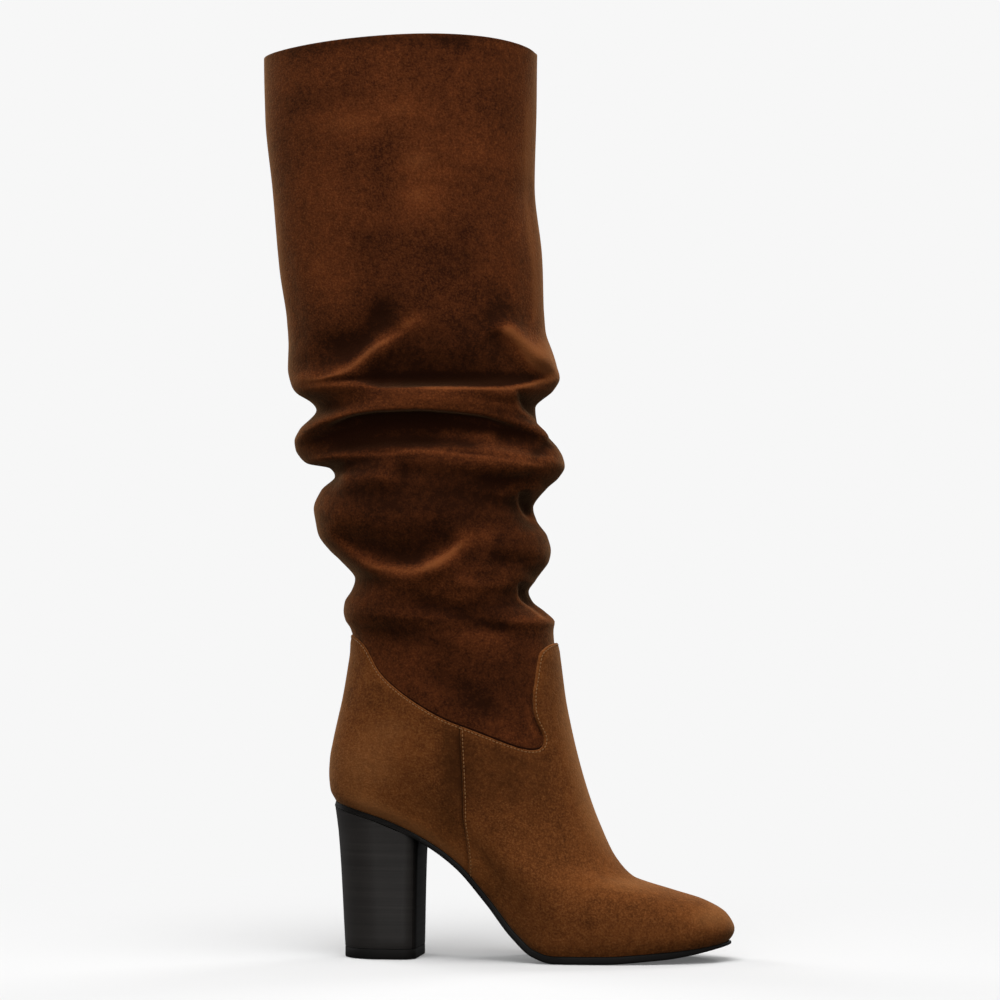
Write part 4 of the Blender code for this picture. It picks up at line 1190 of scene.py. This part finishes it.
def chained(line, places):
    """The points of cut edges in order, from the back round to it again."""
    beside = {}
    for v, w in line:
        beside.setdefault(v, []).append(w)
        beside.setdefault(w, []).append(v)
    order = [min((v for v in beside if len(beside[v]) == 1), key=lambda v: places[v][1])]
    while True:
        ahead = [w for w in beside[order[-1]] if len(order) < 2 or w != order[-2]]
        if not ahead:
            return order
        order.append(ahead[0])


def foot_columns(sizes):
    """Places once round the foot, close together at the vamp's edge over the counter."""
    even = even_columns(FOOT_GIRTH_RING, sizes.foot_step / MM)
    edge = SEAM_PLACE + np.array(LAP_COLUMNS)
    edges = np.concatenate([edge, 2.0 - edge])
    keep = [a for a in even if np.abs(edges - a).min() > LAP_CLEAR]
    return np.sort(np.concatenate([keep, edges]))


def vamp_lap(a):
    """Height of the vamp over the counter at round places a, with a rounded edge."""
    u = np.where(np.mod(a, 2.0) <= 1.0, np.mod(a, 2.0), 2.0 - np.mod(a, 2.0)) - SEAM_PLACE
    ahead = np.clip(u / LAP_ROUND, 0.0, 1.0)
    groove = GROOVE_DEPTH * np.exp(-((u - GROOVE_PLACE) / GROOVE_REACH) ** 2)
    return VAMP_LAP * np.sqrt(1.0 - (1.0 - ahead) ** 2) - np.where(ahead > 0.0, 0.0, groove)


def edge_distance(points, edge):
    """Distance of each point from the nearest point of an edge, up to a limit."""
    near = np.full(len(points), EDGE_FAR)
    for start in range(0, len(points), EDGE_BATCH):
        batch = slice(start, start + EDGE_BATCH)
        away = np.linalg.norm(points[batch, None] - edge, axis=-1)
        near[batch] = np.minimum(EDGE_FAR, away.min(axis=1))
    return near


def cut_foot(sizes):
    """The foot cut along its top edge: ring and round places, faces, depths, stitch points."""
    inset = sizes.stitch_inset / MM
    t = even_rows(0.0, ANKLE_T, FOOT_ROW_SHARE * sizes.foot_step / MM)
    a = foot_columns(sizes)
    columns = len(a)
    places = [np.array((ring, column)) for ring in t for column in a]
    faces = [
        [i * columns + j, i * columns + j + 1, (i + 1) * columns + j + 1, (i + 1) * columns + j]
        for i in range(len(t) - 1) for j in range(columns - 1)
    ]
    height = list(below_seam(form(*np.array(places).T)))
    _, faces, line = split(faces, places, height, 0.0)
    points = form(*np.array(places).T)
    near = edge_distance(points, points[chained(line, places)])
    near[np.unique(line)] = 0.0
    depth = list(near)
    stitches = None
    for level in EDGE_CUTS + tuple(inset + more for more in STITCH_CUTS):
        under, over, line = split(faces, places, depth, level)
        faces = under + over
        if level == inset:
            stitches = chained(line, places)
    return places, faces, np.array(depth), stitches


def joined(places, faces):
    """Faces with the ring closed and unused points left out, and the points they use."""
    same, first = {}, []
    for v, (ring, column) in enumerate(places):
        first.append(same.setdefault((round(ring, PLACE_DIGITS), round(column % 2.0, PLACE_DIGITS)), v))
    faces = [[first[v] for v in face] for face in faces]
    used = sorted({v for face in faces for v in face})
    index = {v: n for n, v in enumerate(used)}
    return [[index[v] for v in face] for face in faces], used


def open_edges(faces):
    """Edges that one face alone has, in that face's order."""
    once = {}
    for face in faces:
        for v, w in zip(face, face[1:] + face[:1]):
            if (w, v) in once:
                del once[(w, v)]
            else:
                once[(v, w)] = True
    return list(once)


def side_seam(sign, inset):
    """Stitch points and normals beside the vamp's edge, outer side 1 or inner side -1."""
    ring = np.linspace(SIDE_SEAM_START, ANKLE_T, SIDE_SEAM_POINTS)
    u = SEAM_PLACE + LAP_ROUND
    hop = np.linalg.norm(form(ring, u + NUDGE) - form(ring, u), axis=-1) / NUDGE
    column = np.mod(sign * (u + inset / hop), 2.0)
    seam = form(ring, column)
    clear = below_seam(seam) > inset + SIDE_SEAM_CLEAR
    lift = form_normals(ring, column)
    return (seam + vamp_lap(column)[:, None] * lift)[clear], lift[clear]


class BOOT_OT_foot(bpy.types.Operator):
    """Build the foot: the vamp lapped over the counter, with its cut top edge"""

    bl_idname = "boot.foot"
    bl_label = "Foot"

    def execute(self, context):
        sizes, colours = context.scene.boot_sizes, context.scene.boot_colours
        inset = sizes.stitch_inset / MM
        places, faces, depth, stitches = cut_foot(sizes)
        t, a = np.array(places).T
        points, normals = form(t, a), form_normals(t, a)
        rounded = np.clip(1.0 - depth / (sizes.edge_round / MM), 0.0, 1.0)
        drop = sizes.skive / MM * (1.0 - smoothstep(0.0, SKIVE_REACH, depth))
        drop += EDGE_DROP * (1.0 - np.sqrt(1.0 - rounded ** 2))
        drop += STITCH_GROOVE * np.exp(-(((depth - inset) / STITCH_GROOVE_HALF) ** 2))
        uneven = ripple(points, FOOT_RIPPLE) * smoothstep(0.0, 1.0, t)
        lap = vamp_lap(a)
        raised = lap * smoothstep(*LAP_GROWS, t) + uneven - drop
        outer = points + raised[:, None] * normals
        inner = points - UPPER_WALL * normals
        for wall in (outer, inner):
            wall[t == 0.0, 2] = sole_z(wall[t == 0.0, 0])
        # Tone: paler along the top edge, darker along the sole, the patches, painted shade in the groove
        # behind the vamp's edge, and painted highlight along the instep and the counter's lower edge.
        tone = EDGE_TONE * (1.0 - smoothstep(0.0, EDGE_TONE_REACH, depth))
        tone = tone + SOLE_TONE * (1.0 - smoothstep(0.0, SOLE_TONE_REACH, t))
        tone = tone + patch_shade(points, FOOT_PATCHES) + GROOVE_SHADE * np.minimum(lap, 0.0)
        tone = tone + fold_rise(points, np.full(len(points), BOTH), FOOT_PAINTED_LIGHT, FOLD_FADE)
        faces, used = joined(places, faces)
        count = len(used)
        rims = [[w, v, count + v, count + w] for v, w in open_edges(faces)]
        backs = [[count + v for v in reversed(face)] for face in faces]
        foot_suede = suede("brushed foot suede", "foot", sizes, colours)
        lining = lining_leather("foot lining leather", colours.lining)
        kinds = [0] * len(faces) + [1] * len(backs) + [0] * len(rims)
        piece(
            "foot", np.concatenate([outer[used], inner[used]]), faces + backs + rims, [foot_suede, lining],
            rows=kinds, tone=np.concatenate([tone[used], tone[used]]), sharp=FOOT_CRISP,
            stands_for=("upper",),
        )
        stitch_path("top_line_stitches", [(outer[stitches], normals[stitches])])
        stitch_path("side_seam_stitches", [side_seam(sign, inset) for sign in (1.0, -1.0)])
        return {"FINISHED"}


# Stitches

def stitch_path(name, runs):
    """Add an object of lines of points, with the surface's normal at each, to sew along."""
    points, away, edges = [], [], []
    for run, normals in runs:
        start = len(points)
        points.extend(run)
        away.extend(normals)
        edges.extend((i, i + 1) for i in range(start, len(points) - 1))
    mesh = bpy.data.meshes.new(name)
    mesh.from_pydata((np.array(points) * MM).tolist(), edges, [])
    layer = mesh.attributes.new("away", "FLOAT_VECTOR", "POINT")
    layer.data.foreach_set("vector", np.array(away, dtype=np.float32).ravel())
    path = bpy.data.objects.new(name, mesh)
    bpy.context.scene.collection.objects.link(path)


def stitch_tree():
    """Geometry Nodes that lay a row of stitches along lines of points on the surface."""
    tree = bpy.data.node_groups.new("stitch row", "GeometryNodeTree")
    sockets = {}
    for name, kind in (
        ("Geometry", "Geometry"), ("Pitch", "Float"), ("Length", "Float"), ("Width", "Float"),
        ("Lift", "Float"), ("Thread", "Material"),
    ):
        socket = tree.interface.new_socket(name, in_out="INPUT", socket_type="NodeSocket" + kind)
        sockets[name] = socket.identifier
    tree.interface.new_socket("Geometry", in_out="OUTPUT", socket_type="NodeSocketGeometry")
    given = add(tree, "NodeGroupInput").outputs
    line = add(tree, "GeometryNodeMeshToCurve", {"Mesh": given["Geometry"]})
    spots = add(tree, "GeometryNodeResampleCurve", {"Curve": line, "Length": given["Pitch"]}, mode="LENGTH")
    away = add(tree, "GeometryNodeInputNamedAttribute", {"Name": "away"}, data_type="FLOAT_VECTOR")
    along = add(tree, "GeometryNodeInputTangent")
    lift = add(tree, "ShaderNodeVectorMath", {0: away, "Scale": given["Lift"]}, operation="SCALE")
    raised = add(tree, "GeometryNodeSetPosition", {"Geometry": spots, "Offset": lift})
    turned = add(tree, "FunctionNodeAlignRotationToVector", {"Vector": along}, axis="X")
    upright = add(tree, "FunctionNodeAlignRotationToVector", {
        "Rotation": turned, "Vector": away,
    }, axis="Z", pivot_axis="X")
    bead = add(tree, "GeometryNodeMeshUVSphere", {"Segments": 6, "Rings": 4, "Radius": 0.5})
    turn = add(tree, "FunctionNodeEulerToRotation", {"Euler": (0.0, math.pi / 2.0, 0.0)})
    laid = add(tree, "GeometryNodeTransform", {"Geometry": bead, "Rotation": turn})
    size = add(tree, "ShaderNodeCombineXYZ", {"X": given["Length"], "Y": given["Width"], "Z": given["Width"]})
    drawn = add(tree, "GeometryNodeTransform", {"Geometry": laid, "Scale": size})
    smooth = add(tree, "GeometryNodeSetShadeSmooth", {"Geometry": drawn})
    row = add(tree, "GeometryNodeInstanceOnPoints", {
        "Points": raised, "Instance": smooth, "Rotation": upright,
    })
    real = add(tree, "GeometryNodeRealizeInstances", {"Geometry": row})
    dyed = add(tree, "GeometryNodeSetMaterial", {"Geometry": real, "Material": given["Thread"]})
    add(tree, "NodeGroupOutput", {"Geometry": dyed})
    return tree, sockets


class BOOT_OT_stitches(bpy.types.Operator):
    """Sew the rows of stitches along the foot's top edge and its side seams"""

    bl_idname = "boot.stitches"
    bl_label = "Stitches"

    def execute(self, context):
        sizes, colours = context.scene.boot_sizes, context.scene.boot_colours
        tree, sockets = stitch_tree()
        settings = {
            "Pitch": sizes.stitch_pitch, "Length": sizes.stitch_length, "Width": sizes.stitch_width,
            "Lift": STITCH_LIFT * sizes.stitch_width, "Thread": sewing_thread("foot thread", colours.thread),
        }
        for name in ("top_line_stitches", "side_seam_stitches"):
            path = bpy.data.objects.get(name)
            if path is None:
                raise RuntimeError("build the foot before its stitches")
            sewn = path.modifiers.new("stitch row", "NODES")
            sewn.node_group = tree
            for setting, value in settings.items():
                sewn[sockets[setting]] = value
            evaluated = path.evaluated_get(context.evaluated_depsgraph_get())
            mesh = bpy.data.meshes.new_from_object(evaluated)
            path.modifiers.remove(sewn)
            path.data = mesh
            mesh.name = name
            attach(path, "root")
        return {"FINISHED"}


# Sole and heel

def ladder(loops):
    """Points and faces of a solid from a stack of loops, bottom first.

    A loop is an array of rungs, each a left and a right point; the first and last
    loops are filled between left and right.
    """
    rungs = len(loops[0])
    points = np.concatenate([np.asarray(loop).reshape(-1, 3) for loop in loops])
    top = len(loops) - 1

    def at(level, rung, side):
        return (level * rungs + rung) * 2 + side

    faces = []
    for r in range(rungs - 1):
        faces.append((at(0, r, 0), at(0, r, 1), at(0, r + 1, 1), at(0, r + 1, 0)))
        faces.append((at(top, r, 0), at(top, r + 1, 0), at(top, r + 1, 1), at(top, r, 1)))
    for level in range(top):
        for r in range(rungs - 1):
            up = level + 1
            faces.append((at(level, r, 0), at(level, r + 1, 0), at(up, r + 1, 0), at(up, r, 0)))
            faces.append((at(level, r, 1), at(up, r, 1), at(up, r + 1, 1), at(level, r + 1, 1)))
        for r, flip in ((0, 1), (rungs - 1, 0)):
            faces.append((at(level, r, flip), at(level, r, 1 - flip), at(up, r, 1 - flip), at(up, r, flip)))
    return points, faces


def tidy(made, sharp):
    """Merge a ladder's doubled end points, point its faces out and crease its edges."""
    work = bmesh.new()
    work.from_mesh(made.data)
    bmesh.ops.remove_doubles(work, verts=work.verts, dist=MERGE_DISTANCE)
    bmesh.ops.recalc_face_normals(work, faces=work.faces)
    work.to_mesh(made.data)
    work.free()
    made.data.set_sharp_from_angle(angle=sharp)


def sole_outline(margin):
    """Rungs of the sole's outline, margin outside the feather edge, as x and y.

    Over the heel the outline keeps to the sole's edge, flush with the heel.
    """
    behind, ahead = SOLE_RUNGS
    columns = np.concatenate([
        np.linspace(0.0, SEAM_PLACE, behind), np.linspace(SEAM_PLACE, 1.0, ahead)[1:],
    ])
    sides = []
    for places in (columns, 2.0 - columns):
        points = form(0.0, places)
        run = form(0.0, places + NUDGE) - form(0.0, places - NUDGE)
        away = unit(np.stack([run[:, 1], -run[:, 0]], axis=-1))
        clear = smoothstep(SEAT_ENDS[0], SEAT_ENDS[1], points[:, :1])
        flat = points[:, :2] + (SOLE_EDGE + clear * (margin - SOLE_EDGE)) * away
        flat[[0, -1], 1] = 0.0
        sides.append(flat)
    return np.stack(sides, axis=1)


def sole_loop(margin, drop):
    """A loop of the sole at drop, as a share of its thickness, below the feather edge."""
    rungs = sole_outline(margin)
    into_toe = smoothstep(TOE_TAPER[0], TOE_TAPER[1], rungs[..., 0])
    rungs[..., 0] += TOE_REACH * into_toe
    x = rungs[..., 0]
    grade = (sole_z(x + NUDGE) - sole_z(x - NUDGE)) / (2.0 * NUDGE)
    square = np.hypot(1.0, grade)
    deep = GAP + drop * sole_thick(x) * (1.0 - TOE_THINNED * into_toe)
    return np.stack([x + deep * grade / square, rungs[..., 1], sole_z(x) - deep / square], axis=-1)


class BOOT_OT_sole(bpy.types.Operator):
    """Build the sole with its rounded edge, and finish the insole"""

    bl_idname = "boot.sole"
    bl_label = "Sole"

    def execute(self, context):
        sizes, colours = context.scene.boot_sizes, context.scene.boot_colours
        points, faces = ladder([sole_loop(SOLE_EDGE - inset, drop) for inset, drop in SOLE_PROFILE])
        rubber = moulded_rubber("black sole rubber", colours.sole, SOLE_GRIT, roughness=0.5, gloss=0.15)
        # Painted shade: the seat is a darker copy of the heel's paint.
        tint = [SEAT_SHADE * c for c in colours.heel]
        paint = painted_stack("painted sole seat", tint, colours.breast, sizes, gloss=0.1)
        seat = [int(max(points[v][0] for v in face) < SEAT_ENDS[1]) for face in faces]
        sole = piece(
            "sole", points, faces, [rubber, paint], rows=seat, stands_for=("outsole",),
        )
        tidy(sole, SOLE_CRISP)
        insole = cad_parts["insole"]
        insole.data.materials.clear()
        insole.data.materials.append(lining_leather("sock leather", colours.lining))
        return {"FINISHED"}


def heel_outline(level, inset):
    """Rungs of the heel's plan: a half round back, straight sides, round breast corners."""
    levels = [section.level for section in HEEL_SECTIONS]
    back_x, half, breast_x = (
        curve(levels, [getattr(section, name) for section in HEEL_SECTIONS], level)
        for name in ("back_x", "half", "breast_x")
    )
    back_x, half, breast_x = back_x + inset, half - inset, breast_x - inset
    angle = np.linspace(0.0, 0.5 * math.pi, HEEL_RUNGS)
    corner = np.linspace(0.0, 0.5 * math.pi, CORNER_RUNGS)
    x = np.concatenate([
        back_x + half * (1.0 - np.cos(angle)), breast_x - HEEL_CORNER * (1.0 - np.sin(corner)),
    ])
    y = np.concatenate([half * np.sin(angle), half - HEEL_CORNER * (1.0 - np.cos(corner))])
    return np.stack([np.stack([x, -y], axis=-1), np.stack([x, y], axis=-1)], axis=1)


def sole_underside(x):
    """Height of the sole's underside at x."""
    edge = sole_loop(SOLE_EDGE - SOLE_EDGE_ROUND, 1.0)[:, 0]
    return np.interp(x, edge[:, 0], edge[:, 2])


class BOOT_OT_heel(bpy.types.Operator):
    """Build the stacked block heel and its top piece"""

    bl_idname = "boot.heel"
    bl_label = "Heel"

    def execute(self, context):
        sizes, colours = context.scene.boot_sizes, context.scene.boot_colours
        low = TOP_PIECE + GAP
        edge = sizes.heel_edge / MM
        loops = []
        for level, inset in HEEL_LOOPS:
            plan = heel_outline(level, inset * edge)
            height = low + level * (sole_underside(plan[..., :1]) - GAP - low)
            loops.append(np.concatenate([plan, height], axis=-1))
        stack = painted_stack("painted heel stack", colours.heel, colours.breast, sizes, gloss=0.4)
        breast = painted_stack("dull heel breast with painted shade", colours.heel, colours.breast, sizes, gloss=0.04)
        points, faces = ladder(loops)
        rungs = len(loops[0])
        front = [int(min(v // 2 % rungs for v in face) >= rungs - DULL_BREAST_RUNGS) for face in faces]
        heel = piece(
            "heel_block", points, faces, [stack, breast], rows=front, stands_for=("heel",),
        )
        rubber = moulded_rubber(
            "top piece rubber", colours.top_piece, TOP_PIECE_GRIT, roughness=0.6, gloss=0.08,
        )
        loops = []
        for share, more, inset in TOP_PIECE_LOOPS:
            plan = heel_outline(0.0, inset * edge)
            height = np.full(plan.shape[:2] + (1,), share * TOP_PIECE + more * edge)
            loops.append(np.concatenate([plan, height], axis=-1))
        points, faces = ladder(loops)
        lift = piece("heel_lift", points, faces, [rubber], stands_for=("heel_top_piece",))
        for made in (heel, lift):
            tidy(made, HEEL_CRISP)
        return {"FINISHED"}


# Stage

def aim(light, target):
    """Turn a light to face a point."""
    light.rotation_euler = (Vector(target) - light.location).to_track_quat("-Z", "Y").to_euler()


class BOOT_OT_stage(bpy.types.Operator):
    """Lay the pale floor and set the studio lights and the camera"""

    bl_idname = "boot.stage"
    bl_label = "Stage"

    def execute(self, context):
        scene = context.scene
        stage, colours = scene.boot_stage, scene.boot_colours
        ring = [2.0 * math.pi * i / FLOOR_SIDES for i in range(FLOOR_SIDES)]
        radius = stage.floor_radius
        rim = [(radius * math.cos(q), radius * math.sin(q), -FLOOR_DROP) for q in ring]
        mesh = bpy.data.meshes.new("floor")
        mesh.from_pydata(rim, [], [tuple(range(FLOOR_SIDES))])
        material, tree, place = blank_material("pale studio floor")
        reach = add(tree, "ShaderNodeVectorMath", {0: place}, operation="LENGTH")
        far = add(tree, "ShaderNodeMapRange", {
            "Value": reach, "From Min": SHADOW_ZONE[0], "From Max": SHADOW_ZONE[1], "To Min": FLOOR_GLOW,
        }, interpolation_type="SMOOTHSTEP")
        matt = add(tree, "ShaderNodeBsdfDiffuse", {"Color": colours.floor_shade})
        glow = add(tree, "ShaderNodeEmission", {"Color": colours.floor})
        mixed = add(tree, "ShaderNodeMixShader", {0: far, 1: matt, 2: glow})
        add(tree, "ShaderNodeOutputMaterial", {"Surface": mixed})
        mesh.materials.append(material)
        floor = bpy.data.objects.new("floor", mesh)
        floor.visible_diffuse = False
        floor.visible_glossy = False
        scene.collection.objects.link(floor)

        world = bpy.data.worlds.new("studio")
        world.use_nodes = True
        sky = world.node_tree
        sky.nodes.clear()
        seen = add(sky, "ShaderNodeLightPath").outputs["Is Camera Ray"]
        way = add(sky, "ShaderNodeTexCoord").outputs["Generated"]
        up = add(sky, "ShaderNodeSeparateXYZ", {0: way}).outputs["Z"]
        strength = add(sky, "ShaderNodeMapRange", {
            "Value": up, "From Min": SKY_HEIGHTS[0], "From Max": SKY_HEIGHTS[1],
            "To Min": SKY_LIGHT[0], "To Max": SKY_LIGHT[1],
        })
        soft = add(sky, "ShaderNodeBackground", {"Color": (1.0, 1.0, 1.0), "Strength": strength})
        plain = add(sky, "ShaderNodeBackground", {"Color": colours.floor, "Strength": 1.0})
        both = add(sky, "ShaderNodeMixShader", {0: seen, 1: soft, 2: plain})
        add(sky, "ShaderNodeOutputWorld", {"Surface": both})
        scene.world = world

        for row in STUDIO_LIGHTS:
            lamp = bpy.data.lights.new(row.name, "AREA")
            lamp.size = row.width
            lamp.energy = row.watts
            light = bpy.data.objects.new(row.name, lamp)
            light.location = row.place
            aim(light, LIGHT_AIM)
            scene.collection.objects.link(light)

        camera = bpy.data.objects.new("camera", bpy.data.cameras.new("camera"))
        camera.data.lens = stage.lens
        camera.data.sensor_width = SENSOR
        camera.location = (
            stage.distance * math.sin(stage.turn), -stage.distance * math.cos(stage.turn), stage.height,
        )
        camera.rotation_euler = (math.pi / 2.0, 0.0, stage.turn)
        scene.collection.objects.link(camera)
        scene.camera = camera
        scene.view_settings.view_transform = "Standard"
        return {"FINISHED"}


class BOOT_PT_panel(bpy.types.Panel):
    """Sizes, colours and pieces of the boot"""

    bl_idname = "BOOT_PT_panel"
    bl_label = "Slouch boot"
    bl_space_type = "VIEW_3D"
    bl_region_type = "UI"
    bl_category = "Boot"

    def draw(self, context):
        for name in ("boot_sizes", "boot_colours", "boot_stage"):
            box = self.layout.box()
            group = getattr(context.scene, name)
            for row in group.__annotations__:
                box.prop(group, row)
        for operator in OPERATORS:
            self.layout.operator(operator.bl_idname)


GROUPS = {"boot_sizes": BootSizes, "boot_colours": BootColours, "boot_stage": BootStage}
OPERATORS = (BOOT_OT_leg, BOOT_OT_foot, BOOT_OT_stitches, BOOT_OT_sole, BOOT_OT_heel, BOOT_OT_stage)
CLASSES = tuple(GROUPS.values()) + OPERATORS + (BOOT_PT_panel,)


def register():
    """Register the classes and hang the property groups on the scene."""
    for made in CLASSES:
        bpy.utils.register_class(made)
    for name, group in GROUPS.items():
        setattr(bpy.types.Scene, name, PointerProperty(type=group))


def unregister():
    """Undo what register did."""
    for name in GROUPS:
        delattr(bpy.types.Scene, name)
    for made in reversed(CLASSES):
        bpy.utils.unregister_class(made)


def main():
    """Build the boot and the stage."""
    register()
    bpy.ops.boot.leg()
    bpy.ops.boot.foot()
    bpy.ops.boot.stitches()
    bpy.ops.boot.sole()
    bpy.ops.boot.heel()
    bpy.ops.boot.stage()


if __name__ == "__main__":
    main()
